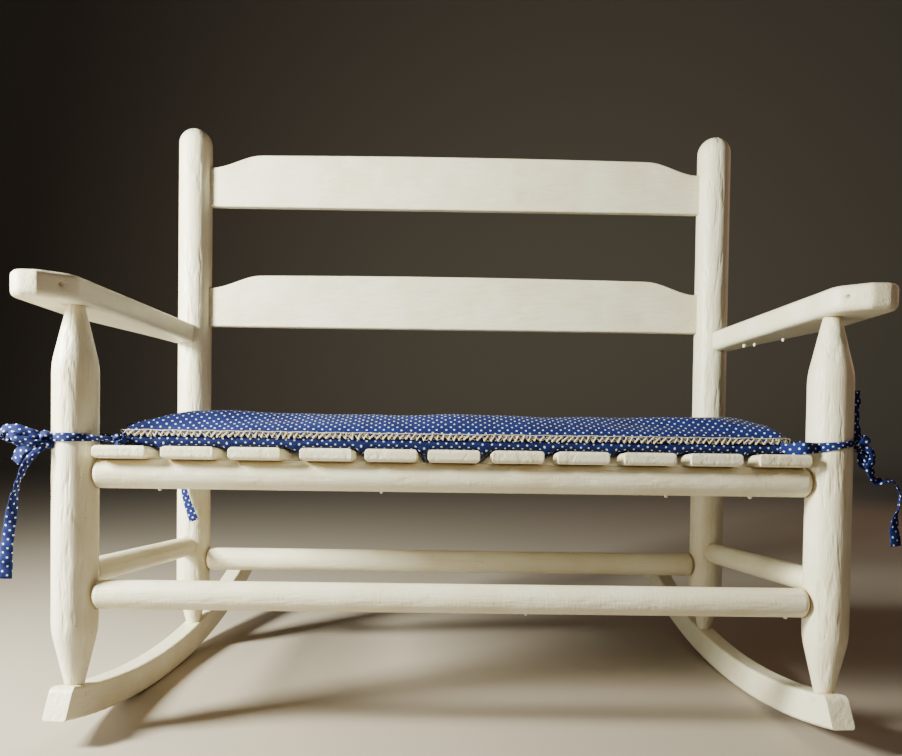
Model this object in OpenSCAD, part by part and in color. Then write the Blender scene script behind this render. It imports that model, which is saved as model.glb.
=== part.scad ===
// Child's double rocking bench: a painted ladder-back frame on two rockers, with a slatted seat and
// a cushion tied to the four posts.
// Sizes are in millimetres. Heights are given from the rockers' lowest point with the posts upright;
// the whole bench then leans back on its rockers to where it comes to rest. Left and right are the
// left and right of someone who looks at the front: left is -X. The front faces -Y.

/* [Frame] */
// Distance between the axes of the two front posts
front_post_spacing = 607; // [600:1:615]
// How far the rear posts' axes stand inside the front posts'
rear_post_inset = 19; // [14:0.5:24]
// Distance from the front posts' axes back to the rear posts' axes
post_depth = 229; // [220:1:240]
// How far the bench leans back on its rockers at rest, in degrees
rest_lean = 3.7; // [0:0.1:7]

/* [Posts] */
// Diameter of all four posts
post_d = 34.9; // [33:0.1:38.5]
// Height of the front posts' top shoulders, where the arms sit
arm_seat_h = 339; // [325:1:355]
// Height of the rear posts' domed tops
rear_post_h = 579; // [570:1:620]
// Diameter of a post's foot, above the rocker
foot_d = 14.5; // [13.5:0.5:17]
// Height of the cone that the front posts' feet are turned to
front_foot_taper = 45; // [38:1:52]
// Height of the cone that the rear posts' feet are turned to
rear_foot_taper = 38; // [32:1:45]
// Diameter of a front post's top, under the arm
top_d = 13.5; // [13:0.5:16]
// Height of the cone that the front posts' tops are turned to
top_taper = 47; // [40:1:54]
// Radius of the soft bend between a cone and the full post
taper_blend = 65; // [30:1:80]
// Diameter of the tenons at a post's foot and top
post_tenon_d = 11.1; // [9:0.1:12]
// Length of the tenon that goes into the rocker
foot_tenon = 16; // [10:1:18]
// Length of the tenon that goes into the arm
top_tenon = 14; // [8:1:15]

/* [Rockers] */
// Radius of the rockers' lower edge
rocker_radius = 640; // [600:5:700]
// How far behind the front posts the rockers' lowest point is
rocker_low_point = 104; // [98:1:112]
// Height of the rocker board's section
rocker_h = 26; // [24:0.5:30]
// Thickness of the rocker board
rocker_t = 19; // [18:0.5:24]
// How far the rockers reach ahead of the front posts' axes
rocker_front = 29; // [25:1:40]
// How far the rockers reach behind the rear posts' axes
rocker_rear = 180; // [150:1:195]
// Slant of the rockers' end faces, in degrees from upright
rocker_end_slant = 25; // [10:1:30]
// Radius of the upper corner of a rocker's end
rocker_corner_r = 7; // [3:0.5:9]
// Radius of the rockers' long edges
rocker_edge_r = 2.5; // [1:0.5:4]

/* [Rails and stretchers] */
// Diameter of the front seat rail
front_rail_d = 23.6; // [21:0.1:25]
// Height of the front seat rail's axis
front_rail_h = 205.4; // [198:0.1:212]
// Diameter of the rear seat rail
rear_rail_d = 20; // [18:0.5:24]
// How far the rear seat rail's axis lies below the front one's
rear_rail_drop = 6.4; // [0:0.1:12]
// Diameter of the front stretcher
front_stretcher_d = 23.5; // [20:0.1:25]
// Diameter of the rear stretcher
rear_stretcher_d = 24.5; // [20:0.1:25]
// Diameter of the side stretchers
side_stretcher_d = 21; // [18:0.5:24]
// Height of the side stretchers' axes
side_stretcher_h = 123.5; // [118:0.5:140]
// How far the front stretcher's axis lies below the side stretchers'
front_stretcher_drop = 15.5; // [15:0.5:22]
// How far the rear stretcher's axis lies below the side stretchers'
rear_stretcher_drop = 15; // [15:0.5:22]
// Diameter of the tenons at the ends of rails and stretchers
rail_tenon_d = 14; // [11:0.5:14.5]
// Length of those tenons past their shoulder
rail_tenon = 14; // [12:0.5:16]
// How deep a rail's shoulder is let into its post
rail_shoulder = 0.6; // [0.4:0.1:1.2]
// Radius of the rims at the ends of rails and stretchers
rail_end_r = 4.5; // [2:0.1:6]

/* [Arms] */
// Thickness of the arms
arm_t = 20.5; // [18:0.5:24]
// How much higher an arm's underside is at the rear post than at the front post
arm_rise = 5; // [0:0.5:10]
// How far the arms reach ahead of the front posts' axes
arm_front = 41; // [36:1:50]
// How far an arm's inner edge lies inside the front post's axis
arm_inner_front = 12; // [10:0.5:16]
// How far an arm's inner edge lies inside the rear post's axis
arm_inner_rear = 4.5; // [2:0.5:8]
// Width of the arm's paddle at the front post
arm_front_w = 47.5; // [43:0.5:54]
// Width of the arm where it meets the rear post
arm_rear_w = 26; // [23:0.5:34]
// How far the slanted inner corner of the paddle reaches back from its front edge
arm_corner_cut = 26; // [20:1:32]
// Length of the paddle's front edge between its slanted and its round corner
arm_front_flat = 10.5; // [6:0.5:18]
// Radius of the outer front corner of the paddle
arm_corner_r = 15; // [8:1:18]
// Radius of the bend between the paddle's slanted corner and the inner edge
arm_inner_r = 16; // [10:1:18]
// How far behind the front post's axis the paddle starts to narrow
arm_paddle_back = 45; // [30:1:80]
// Radius of the arms' long edges
arm_edge_r = 4.5; // [2:0.5:6]

/* [Back] */
// Height of the lower back slat's lower edge
lower_slat_h = 364.5; // [361:0.5:375]
// Height of the top back slat's lower edge
top_slat_h = 495; // [470:0.5:500]
// Height of a back slat's board at its middle
back_slat_w = 57.5; // [50:0.5:62]
// Height of a back slat's board where it enters the posts
back_slat_end_w = 42; // [36:0.5:48]
// Thickness of the back slats
back_slat_t = 8.5; // [7:0.5:12]
// Length of the ogee shoulder at each end of a back slat
back_slat_shoulder = 55; // [40:1:80]
// Rise of a back slat's top edge from its shoulders to its middle
back_slat_crown = 1.5; // [0:0.1:4]
// Depth of the back slats' mortises in the posts
back_mortise = 16; // [10:0.5:17]
// Radius of the back slats' edges
back_slat_edge_r = 1.6; // [0.5:0.1:3]

/* [Seat slats] */
// Width of a seat slat
slat_w = 41; // [36:0.5:43]
// Thickness of a seat slat
slat_t = 10; // [8:0.5:12]
// Radius of the seat slats' edges
slat_edge_r = 3.2; // [1:0.1:3.8]
// How far the seat slats reach ahead of the front rail's axis
slat_front = 19; // [16:0.5:24]
// How far the seat slats reach behind the rear rail's axis
slat_rear = 16; // [13:0.5:22]
// Gap between the outer seat slats and the front posts
slat_end_gap = 3.6; // [2:0.1:6]
// Gap between the outer seat slats' notches and the rear posts
slat_notch_gap = 0.6; // [0.3:0.1:2]

/* [Cushion] */
// Gap between each end of the cushion and the front post
cushion_end_gap = 13.6; // [10:0.1:20]
// Gap between the cushion's rear edge and the rear posts
cushion_rear_gap = 6.6; // [5:0.1:14]
// How far the cushion reaches ahead of the front rail's axis
cushion_front = 2; // [0:0.5:8]
// Height of the cushion's seam above the seat slats
cushion_seam_h = 10; // [8:0.5:14]
// Height of the cushion's crown above the seat slats
cushion_crown_h = 36; // [28:0.5:46]
// How far the cushion's sides are drawn in between its corners
cushion_drawn_in = 4; // [0:0.5:7]
// Radius of the cushion's corners, seen from above
cushion_corner_r = 18; // [12:1:30]
// Length over which the left end swells to full height
cushion_roll_left = 20; // [14:1:40]
// Length over which the right end swells to full height
cushion_roll_right = 46; // [20:1:60]
// Length over which the front and rear edges swell to full height
cushion_roll_long = 30; // [20:1:50]
// Height of the braid along the seam
trim_w = 8.8; // [6:0.2:10]
// Thickness of the braid
trim_t = 1.4; // [1:0.1:2.5]

/* [Ties] */
// Width of the flat ties
tie_w = 9.5; // [8:0.5:12]
// Thickness of the folded ties
tie_t = 1.6; // [1.2:0.1:2.2]
// Radius of the ties' knots
knot_r = 7; // [5:0.5:8]
// How far the front ties' tails hang out past their posts
tie_hang = 40; // [34:0.5:45]

/* [Nails and screws] */
// Diameter of the nails
nail_d = 1.8; // [1.4:0.1:2.4]
// Diameter of the nails' heads
nail_head_d = 3; // [2.6:0.1:4]
// Thickness of the nails' heads
nail_head_t = 0.8; // [0.6:0.1:1.2]
// Diameter of the arm screws
screw_d = 4; // [3:0.1:5]
// Diameter of the arm screws' heads
screw_head_d = 7.5; // [7:0.1:9]
// Length of the arm screws
screw_length = 62; // [50:1:75]

/* [Hidden] */

$fn = 64;
// Facets of the rockers' long curves
long_fn = 360;
// Clearance round a tenon, nail or screw in its hole, on the radius
fit = 0.05;
// Space left past the end of a tenon in its hole
end_gap = 0.3;
// Gap between soft pieces and what they lie against
soft_gap = 0.3;
// How far a cutting shape reaches past what it cuts
past = 1;
slat_count = 11;
// How far the slats were nailed off their even spacing, from left to right
slat_shift = [0, 1, 1, 4.5, 3, 0, -2, -3, -3, -3, -1];

paint = "#EFE8D8";
cotton = "#3050AA";
braid = "#E9DFC4";
steel = "#8A8A86";

post_r = post_d / 2;
front_x = front_post_spacing / 2;
rear_x = front_x - rear_post_inset;
// Toe-in of the rockers, side stretchers and arms, which follow the posts
toe = atan((front_x - rear_x) / post_depth);
// Distance between the axes of the posts on one side
side_run = norm([front_x - rear_x, post_depth]);
// Where a rail's shoulder lies in a post, and where its tenon ends, from the post's axis
shoulder_at = post_r - rail_shoulder;
tenon_end_at = shoulder_at - rail_tenon;
// Where nails cross the tenons, from the post's axis, and how far that is from the tenon's end
tenon_nail_in = 5;
tenon_nail_at = tenon_end_at + tenon_nail_in;

rocker_top_r = rocker_radius - rocker_h;
front_stretcher_h = side_stretcher_h - front_stretcher_drop;
rear_stretcher_h = side_stretcher_h - rear_stretcher_drop;
rear_rail_h = front_rail_h - rear_rail_drop;
arm_slope = atan(arm_rise / (post_depth - post_r));

function sq(x) = x * x;
// Height of the rocker's upper edge at a distance behind the front post, along the rocker
function rocker_top(s) = rocker_radius - sqrt(sq(rocker_top_r) - sq(s - rocker_low_point));
front_foot_h = rocker_top(0);
rear_foot_h = rocker_top(side_run);

// Distance of the rockers' end corners from their lowest point
front_corner = rocker_front + rocker_low_point;
rear_corner = side_run + rocker_rear - rocker_low_point;
function arc_h(e) = rocker_radius - sqrt(sq(rocker_radius) - sq(e));

// The bench's own ground line once it leans: lowest point, front and rear ends of the rockers
flat_half = rocker_t / 2 - rocker_edge_r;
function leaned_y(y, z) = y * cos(rest_lean) + z * sin(rest_lean);
lean_across = norm([cos(rest_lean), cos(toe) * sin(rest_lean)]);
low_z = rocker_radius * (cos(rest_lean) - lean_across)
    - (rocker_low_point * cos(toe) + flat_half * sin(toe)) * sin(rest_lean);
front_y = leaned_y(-rocker_front * cos(toe) - flat_half * sin(toe), arc_h(front_corner));
rear_y = leaned_y((side_run + rocker_rear) * cos(toe) + flat_half * sin(toe), arc_h(rear_corner));

// Stands the leaning bench on the ground, centred
module at_rest() {
    translate([0, -(front_y + rear_y) / 2, -low_z])
        rotate([-rest_lean, 0, 0])
            children();
}

// Draws a piece on the right, or mirrored on the left
module on_side(right) {
    if (right) children();
    else mirror([1, 0, 0]) children();
}

// The upright plane through the right-hand posts: X is outwards, Y runs back along the rocker
module side_plane() {
    translate([front_x, 0, 0])
        rotate([0, 0, toe])
            children();
}

// Turns a flat drawing of distance back and height into a slab of the side plane
module side_slab(thickness) {
    rotate([90, 0, 90])
        linear_extrude(thickness, center = true)
            children();
}

module rounded_rect(w, h, r) {
    square([w - 2 * r, h], center = true);
    square([w, h - 2 * r], center = true);
    for (x = [-1, 1], y = [-1, 1])
        translate([x * (w / 2 - r), y * (h / 2 - r)])
            circle(r);
}

// Nails and screws point along -Z from their head, whose top is at the origin
module nail(length) {
    translate([0, 0, -nail_head_t])
        cylinder(d = nail_head_d, h = nail_head_t);
    translate([0, 0, -length])
        cylinder(d = nail_d, h = length);
}

// Its hole; the pocket over a head that is set below the surface is as long as it needs
module nail_hole(length, pocket = past) {
    translate([0, 0, -nail_head_t - fit])
        cylinder(d = nail_head_d + 2 * fit, h = nail_head_t + pocket + fit);
    translate([0, 0, -length - end_gap])
        cylinder(d = nail_d + 2 * fit, h = length + end_gap);
}

// Turned posts

// Profile of a cone from a thin end at height 0 to the full radius, with a soft bend between
blend_steps = 6;
function cone_profile(end_r, run) =
    let (slope = atan((post_r - end_r) / run),
        centre = [post_r - taper_blend, run + taper_blend * tan(slope / 2)])
    concat([[end_r, 0]],
        [for (i = [0:blend_steps]) let (a = slope * (1 - i / blend_steps))
            [centre[0] + taper_blend * cos(a), centre[1] - taper_blend * sin(a)]]);
function reversed(list) = [for (i = [len(list) - 1:-1:0]) list[i]];

// Foot end of a post, long enough to be scribed to the rocker
scribe = 4;
function foot_profile(foot_h, run) = concat(
    [[0, foot_h - scribe], [foot_d / 2, foot_h - scribe]],
    [for (p = cone_profile(foot_d / 2, run)) [p[0], foot_h + p[1]]]);

// Space above the rocker's upper edge, which the posts' feet are scribed to; drawn in the side plane
module above_rocker() {
    translate([0, rocker_low_point, rocker_radius])
        rotate([0, 90, 0])
            cylinder(r = rocker_top_r, h = 2 * post_d, center = true, $fn = long_fn);
}

// A rail's hole in a post, whose axis is Z: the rail comes in along +X
module rail_socket(rail_d) {
    depth = post_d - shoulder_at;
    rotate([0, 90, 0]) {
        translate([0, 0, -post_d])
            cylinder(d = rail_d + 2 * fit, h = depth);
        translate([0, 0, -post_d])
            cylinder(d = rail_tenon_d + 2 * fit, h = post_d - tenon_end_at + end_gap);
    }
}

// Nail through a rail's tenon, from behind the post; the rail comes in along +X
tenon_nail_length = 24;
// Depth of the pocket over its head, which opens the post's curve above it
tenon_nail_pocket = 4;
// How far a nail's flat head is sunk below the round post
sunk = 0.2;
module across_tenon() {
    surface = sqrt(sq(post_r) - sq(tenon_nail_at + nail_head_d / 2));
    translate([-tenon_nail_at, surface - sunk, 0])
        rotate([-90, 0, 0])
            children();
}

// The side stretcher's sockets are turned to the other post: from the front post it lies behind
module towards_rear_post() {
    rotate([0, 0, toe - 90])
        children();
}

module towards_front_post() {
    rotate([0, 0, toe + 90])
        children();
}

// Nail holes and nails of the side stretchers' tenons come from outside
module side_tenon_nail(front) {
    if (front) towards_rear_post() across_tenon() children();
    else towards_front_post() mirror([0, 1, 0]) across_tenon() children();
}

// Foot tenon and its nail, driven from the rocker's inner face
foot_nail_drop = 7;
foot_nail_length = 14;
module foot_nail_place(foot_h) {
    translate([-rocker_t / 2, 0, foot_h - foot_nail_drop])
        rotate([0, -90, 0])
            children();
}

module post_tenon(length) {
    cylinder(d = post_tenon_d, h = length);
}

// Nail through an arm into the front post's top tenon, set in the paddle's slanted corner
arm_nail_length = 36;
arm_nail_set = 0.9;
arm_nail_pocket = 4;
// Where along the slanted corner the nail is, as a share of its length from the inner bend
arm_nail_share = 0.15;
module arm_nail_place() {
    head = slant_start + (slant_stop - slant_start) * arm_nail_share + [0, arm_nail_set];
    translate([head[0], head[1], arm_seat_h + arm_t / 2])
        rotate([90, 0, atan2(head[0], -head[1])])
            children();
}

module front_post(right) {
    color(paint) at_rest() on_side(right) difference() {
        union() {
            difference() {
                intersection() {
                    translate([front_x, 0, 0])
                        rotate_extrude()
                            polygon(concat(foot_profile(front_foot_h, front_foot_taper),
                                [for (p = reversed(cone_profile(top_d / 2, top_taper)))
                                    [p[0], arm_seat_h - p[1]]],
                                [[top_d / 2, arm_seat_h + past], [0, arm_seat_h + past]]));
                    side_plane() above_rocker();
                }
                arm_space();
            }
            translate([front_x, 0, front_foot_h - foot_tenon])
                post_tenon(foot_tenon + past);
            translate([front_x, 0, arm_seat_h - past])
                post_tenon(top_tenon + past);
        }
        translate([front_x, 0, front_rail_h]) rail_socket(front_rail_d);
        translate([front_x, 0, front_stretcher_h]) rail_socket(front_stretcher_d);
        translate([front_x, 0, side_stretcher_h]) towards_rear_post() rail_socket(side_stretcher_d);
        for (h = [front_rail_h, front_stretcher_h])
            translate([front_x, 0, h]) across_tenon() nail_hole(tenon_nail_length, tenon_nail_pocket);
        translate([front_x, 0, side_stretcher_h])
            side_tenon_nail(true) nail_hole(tenon_nail_length, tenon_nail_pocket);
        side_plane() foot_nail_place(front_foot_h) nail_hole(foot_nail_length);
        translate([front_x, 0, 0]) arm_nail_place() nail_hole(arm_nail_length, arm_nail_pocket);
    }
}

module rear_post(right) {
    color(paint) at_rest() on_side(right) difference() {
        union() {
            intersection() {
                translate([rear_x, post_depth, 0])
                    rotate_extrude()
                        union() {
                            polygon(concat(foot_profile(rear_foot_h, rear_foot_taper),
                                [[post_r, rear_post_h - post_r], [0, rear_post_h - post_r]]));
                            intersection() {
                                translate([0, rear_post_h - post_r]) circle(post_r);
                                translate([0, rear_post_h - post_r - past])
                                    square([post_d, post_d]);
                            }
                        }
                side_plane() above_rocker();
            }
            translate([rear_x, post_depth, rear_foot_h - foot_tenon])
                post_tenon(foot_tenon + past);
        }
        translate([rear_x, post_depth, rear_rail_h]) rail_socket(rear_rail_d);
        translate([rear_x, post_depth, rear_stretcher_h]) rail_socket(rear_stretcher_d);
        translate([rear_x, post_depth, side_stretcher_h])
            towards_front_post() rail_socket(side_stretcher_d);
        for (h = [rear_rail_h, rear_stretcher_h])
            translate([rear_x, post_depth, h])
                across_tenon() nail_hole(tenon_nail_length, tenon_nail_pocket);
        translate([rear_x, post_depth, side_stretcher_h])
            side_tenon_nail(false) nail_hole(tenon_nail_length, tenon_nail_pocket);
        for (h = [lower_slat_h, top_slat_h]) {
            translate([rear_x - post_r - past, post_depth - back_slat_t / 2 - fit, h - fit])
                cube([back_mortise + past + end_gap, back_slat_t + 2 * fit,
                    back_slat_end_w + 2 * fit]);
            back_nail_place(h) nail_hole(back_nail_length);
        }
        side_plane() translate([0, side_run, 0])
            foot_nail_place(rear_foot_h) nail_hole(foot_nail_length);
        arm_screw_place() screw_hole();
    }
}

// Rockers

// End of a rocker, drawn with X as the distance from the lowest point towards that end: what lies
// past the slanted end face and past the rounded upper corner
module end_waste(corner) {
    centre = [0, rocker_radius];
    foot = [corner, arc_h(corner)];
    up = [-sin(rocker_end_slant), cos(rocker_end_slant)];
    out = [cos(rocker_end_slant), sin(rocker_end_slant)];
    // The rounding's centre is one radius inside the end face and one inside the upper edge
    q = foot - out * rocker_corner_r - centre;
    k = rocker_top_r + rocker_corner_r;
    along = -(q * up) - sqrt(sq(q * up) - (q * q - sq(k)));
    c = foot - out * rocker_corner_r + up * along;
    inwards = (centre - c) / norm(centre - c);
    reach = 2 * rocker_h;
    polygon([foot - up * rocker_h, foot + up * reach, foot + up * reach + out * reach,
        foot - up * rocker_h + out * reach]);
    difference() {
        polygon([c, c + out * rocker_corner_r, c + out * rocker_corner_r + up * 3 * rocker_corner_r,
            c + inwards * 3 * rocker_corner_r, c + inwards * rocker_corner_r]);
        translate(c) circle(rocker_corner_r);
    }
}

module rocker(right) {
    // The bar is swept a little past both end faces, in degrees
    spare = 1.5;
    first = -asin(front_corner / rocker_radius) - spare;
    last = asin(rear_corner / rocker_radius) + spare;
    color(paint) at_rest() on_side(right) side_plane() difference() {
        translate([0, rocker_low_point, rocker_radius])
            rotate([90, 0, 90])
                rotate([0, 0, first - 90])
                    rotate_extrude(angle = last - first, $fn = long_fn)
                        translate([rocker_radius - rocker_h / 2, 0])
                            rounded_rect(rocker_h, rocker_t, rocker_edge_r, $fn = 32);
        translate([0, rocker_low_point, 0]) {
            side_slab(2 * rocker_t) end_waste(rear_corner);
            mirror([0, 1, 0]) side_slab(2 * rocker_t) end_waste(front_corner);
        }
        for (p = [[0, front_foot_h], [side_run, rear_foot_h]])
            translate([0, p[0], 0]) {
                translate([0, 0, p[1] - foot_tenon - end_gap])
                    cylinder(d = post_tenon_d + 2 * fit, h = foot_tenon + rocker_h);
                foot_nail_place(p[1]) nail_hole(foot_nail_length);
            }
    }
}

// Boards with rounded edges, for the arms and the back slats

// Points of a closed outline moved inwards by a distance; the outline runs anticlockwise
function inset(outline, distance) =
    let (n = len(outline))
    [for (i = [0:n - 1])
        let (before = outline[(i + n - 1) % n], after = outline[(i + 1) % n],
            a = unit(outline[i] - before), b = unit(after - outline[i]),
            left = unit([-(a + b)[1], (a + b)[0]]),
            stretch = 1 / max(0.5, left * [-a[1], a[0]]))
        outline[i] + left * distance * stretch];
function unit(v) = v / norm(v);

edge_steps = 3;
// Closed slab from the outline, from height 0 to t, with its upper and lower edges rounded by r
module rounded_slab(outline, t, r) {
    levels = concat(
        [for (i = [0:edge_steps]) let (a = 90 * i / edge_steps) [r * (1 - sin(a)), r * (1 - cos(a))]],
        [for (i = [edge_steps:-1:0]) let (a = 90 * i / edge_steps)
            [r * (1 - sin(a)), t - r * (1 - cos(a))]]);
    loft([for (l = levels) [for (p = inset(outline, l[0])) [p[0], p[1], l[1]]]]);
}

// Closed solid through a row of rings, which all have the same number of points and run
// anticlockwise for someone whom they come towards
module loft(rings) {
    n = len(rings[0]);
    last = len(rings) - 1;
    polyhedron(
        points = [for (ring = rings) each ring],
        faces = concat(
            [[for (i = [0:n - 1]) i]],
            [[for (i = [n - 1:-1:0]) last * n + i]],
            [for (l = [0:last - 1], i = [0:n - 1]) let (j = (i + 1) % n)
                [l * n + i, (l + 1) * n + i, (l + 1) * n + j, l * n + j]]));
}

// Arms

function arc_points(c, r, from, to, steps) =
    [for (i = [0:steps]) let (a = from + (to - from) * i / steps) c + r * [cos(a), sin(a)]];
function smooth(t) = t * t * (3 - 2 * t);

// Plan of the right arm, anticlockwise, measured from the front post's axis: a narrow bar from the
// rear post that widens to a paddle with a slanted inner corner and a round outer corner
arm_back = post_depth - post_r / 2;
// Radii of the two corners of the arm's rear end, which is coped to the post
arm_tail_outer_r = 6;
arm_tail_inner_r = 3;
rear_offset = rear_x - front_x;
arm_outer_front = arm_front_w - arm_inner_front;
arm_outer_rear = arm_rear_w - arm_inner_rear + rear_offset;
arm_inner_back = rear_offset - arm_inner_rear;
arm_tail = arm_back - arm_tail_outer_r;
// The slanted corner runs from the inner bend to a point on the front edge
inner_bend = [arm_inner_r - arm_inner_front, arm_corner_cut - arm_front];
slant_turn = 235;
slant_start = inner_bend + arm_inner_r * [cos(slant_turn), sin(slant_turn)];
// The front edge itself bows forward by this much
arm_front_bow = 1;
slant_stop = [arm_outer_front - arm_corner_r - arm_front_flat, arm_front_bow - arm_front];
// Share of the narrowing that follows an S-curve; the rest is straight
arm_waist = 0.32;
arm_plan = concat(
    arc_points([arm_outer_front - arm_corner_r, arm_corner_r - arm_front], arm_corner_r, -80, 0, 12),
    [for (i = [0:10]) let (t = i / 10, w = arm_waist * smooth(t) + (1 - arm_waist) * t)
        [arm_outer_front + (arm_outer_rear - arm_outer_front) * w,
            arm_paddle_back + (arm_tail - arm_paddle_back) * t]],
    arc_points([arm_outer_rear - arm_tail_outer_r, arm_tail], arm_tail_outer_r, 30, 90, 2),
    [[arm_inner_back + arm_tail_inner_r, arm_back], [arm_inner_back, arm_back - arm_tail_inner_r]],
    arc_points(inner_bend, arm_inner_r, 180, slant_turn, 5),
    [slant_stop]);

module arm_place() {
    translate([front_x, 0, arm_seat_h])
        rotate([arm_slope, 0, 0])
            children();
}

// The space over the arm's underside, which the front post's shoulder is scribed to
module arm_space() {
    arm_place()
        translate([-post_d, -post_d, 0])
            cube([2 * post_d, 2 * post_d, post_d]);
}

module arm(right) {
    color(paint) at_rest() on_side(right) difference() {
        arm_place() rounded_slab(arm_plan, arm_t, arm_edge_r);
        translate([front_x, 0, arm_seat_h - past])
            cylinder(d = post_tenon_d + 2 * fit, h = top_tenon + past + end_gap);
        translate([rear_x, post_depth, arm_seat_h - post_d])
            cylinder(r = post_r + fit, h = 3 * post_d);
        translate([front_x, 0, 0]) arm_nail_place() nail_hole(arm_nail_length, arm_nail_pocket);
        arm_screw_place() screw_hole();
    }
}

// Screw from behind the rear post into the arm's end
screw_side = 5;
screw_head_t = 2.6;
screw_tip = 4;
module arm_screw_place() {
    surface = sqrt(sq(post_r) - sq(screw_side + screw_head_d / 2));
    translate([rear_x + screw_side, post_depth + surface - sunk, arm_seat_h + arm_rise + arm_t / 2])
        rotate([-90, 0, 0])
            children();
}

module screw_solid() {
    rotate_extrude()
        polygon([[0, 0], [screw_head_d / 2, 0], [screw_d / 2, -screw_head_t],
            [screw_d / 2, screw_tip - screw_length], [0, -screw_length]]);
}

module screw_hole() {
    rotate_extrude()
        polygon([[0, post_r], [screw_head_d / 2 + fit, post_r], [screw_head_d / 2 + fit, 0],
            [screw_d / 2 + fit, -screw_head_t], [screw_d / 2 + fit, -screw_length - end_gap],
            [0, -screw_length - end_gap]]);
}

// Back slats

// The board enters its mortise by this much, and goes on from there as a tenon with eased faces
back_entry = 3;
back_tenon_ease = 0.3;
back_half = rear_x - post_r + back_entry;
// Length of full-width board left between the post and the ogee
shoulder_land = 1;
shoulder_start = rear_x - post_r - shoulder_land;
shoulder_stop = shoulder_start - back_slat_shoulder;
// Height of a back slat's upper edge: level in the mortise, an ogee up the shoulder, a low crown
function back_edge(x) =
    let (d = abs(x), t = min(1, max(0, (shoulder_start - d) / back_slat_shoulder)))
    back_slat_end_w + (back_slat_w - back_slat_crown - back_slat_end_w) * smooth(t)
        + (d < shoulder_stop ? back_slat_crown * (1 - sq(d / shoulder_stop)) : 0);
shoulder_steps = 9;
crown_steps = 4;
// Stations along a back slat from its middle to its right end
back_xs = concat(
    [for (i = [0:crown_steps - 1]) shoulder_stop * i / crown_steps],
    [for (i = [shoulder_steps:-1:0]) shoulder_start - back_slat_shoulder * i / shoulder_steps],
    [back_half]);
back_stations = concat([for (i = [len(back_xs) - 1:-1:1]) -back_xs[i]], back_xs);
// Upright section of a back slat at a station, with its four edges rounded
function back_section(x) =
    [for (corner = [0:3], i = [0:edge_steps])
        let (a = 90 * (corner - 1 + i / edge_steps), r = back_slat_edge_r)
        [x, (corner < 2 ? 1 : -1) * (back_slat_t / 2 - r) + r * cos(a),
            (corner == 1 || corner == 2 ? back_edge(x) - r : r) + r * sin(a)]];

back_nail_at = 9;
back_nail_length = 22;
module back_nail_place(h) {
    surface = sqrt(sq(post_r) - sq(back_nail_at + nail_head_d / 2));
    translate([rear_x - back_nail_at, post_depth + surface - sunk, h + back_slat_end_w / 2])
        rotate([-90, 0, 0])
            children();
}

module back_slat(h) {
    tenon = [back_mortise, back_slat_t - 2 * back_tenon_ease, back_slat_end_w - 2 * back_tenon_ease];
    color(paint) at_rest() difference() {
        union() {
            translate([0, post_depth, h])
                loft([for (x = back_stations) back_section(x)]);
            for (right = [true, false])
                on_side(right)
                    translate([rear_x - post_r, post_depth - tenon[1] / 2, h + back_tenon_ease])
                        cube(tenon);
        }
        for (right = [true, false])
            on_side(right) back_nail_place(h) nail_hole(back_nail_length);
    }
}

// Rails and stretchers, turned round with a tenon past a shoulder with a rounded rim at each end

module round_rail(span, d) {
    half = span / 2 - shoulder_at;
    rotate([0, 90, 0]) {
        rotate_extrude() {
            translate([0, rail_end_r - half])
                square([d / 2, 2 * (half - rail_end_r)]);
            translate([0, -half])
                square([d / 2 - rail_end_r, 2 * half]);
            for (end = [-1, 1])
                translate([d / 2 - rail_end_r, end * (half - rail_end_r)])
                    circle(rail_end_r, $fn = 16);
        }
        cylinder(d = rail_tenon_d, h = span - 2 * tenon_end_at, center = true);
    }
}

module cross_rail(x, y, h, d) {
    difference() {
        translate([0, y, h]) round_rail(2 * x, d);
        for (right = [true, false])
            on_side(right) translate([x, y, h]) across_tenon() nail_hole(tenon_nail_length);
    }
}

module seat_rail(front) {
    x = front ? front_x : rear_x;
    y = front ? 0 : post_depth;
    h = front ? front_rail_h : rear_rail_h;
    color(paint) at_rest() difference() {
        cross_rail(x, y, h, front ? front_rail_d : rear_rail_d);
        for (i = [0:slat_count - 1])
            slat_nail_place(i, front) nail_hole(slat_nail_length);
    }
}

module cross_stretcher(front) {
    color(paint) at_rest()
        if (front) cross_rail(front_x, 0, front_stretcher_h, front_stretcher_d);
        else cross_rail(rear_x, post_depth, rear_stretcher_h, rear_stretcher_d);
}

module side_stretcher(right) {
    color(paint) at_rest() on_side(right) difference() {
        side_plane() translate([0, side_run / 2, side_stretcher_h])
            rotate([0, 0, 90]) round_rail(side_run, side_stretcher_d);
        translate([front_x, 0, side_stretcher_h]) side_tenon_nail(true) nail_hole(tenon_nail_length);
        translate([rear_x, post_depth, side_stretcher_h])
            side_tenon_nail(false) nail_hole(tenon_nail_length);
    }
}

// Seat slats

// The seat's own plane: its origin is on the front rail's axis, Y runs back along the slats, which
// lie on both rails
rail_gap = norm([post_depth, rear_rail_drop]);
rail_step = (front_rail_d - rear_rail_d) / 2;
seat_run = sqrt(sq(rail_gap) - sq(rail_step));
seat_tilt = -atan(rear_rail_drop / post_depth) - atan(rail_step / seat_run);
slat_under = front_rail_d / 2;
slat_top = slat_under + slat_t;
slat_half_span = front_x - post_r - slat_end_gap - slat_w / 2;
slat_pitch = 2 * slat_half_span / (slat_count - 1);
function slat_x(i) = -slat_half_span + slat_pitch * i + slat_shift[i];

module on_seat() {
    translate([0, 0, front_rail_h])
        rotate([seat_tilt, 0, 0])
            children();
}

slat_nail_length = 24;
module slat_nail_place(i, front) {
    on_seat()
        translate([slat_x(i), front ? 0 : seat_run, slat_top])
            children();
}

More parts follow.
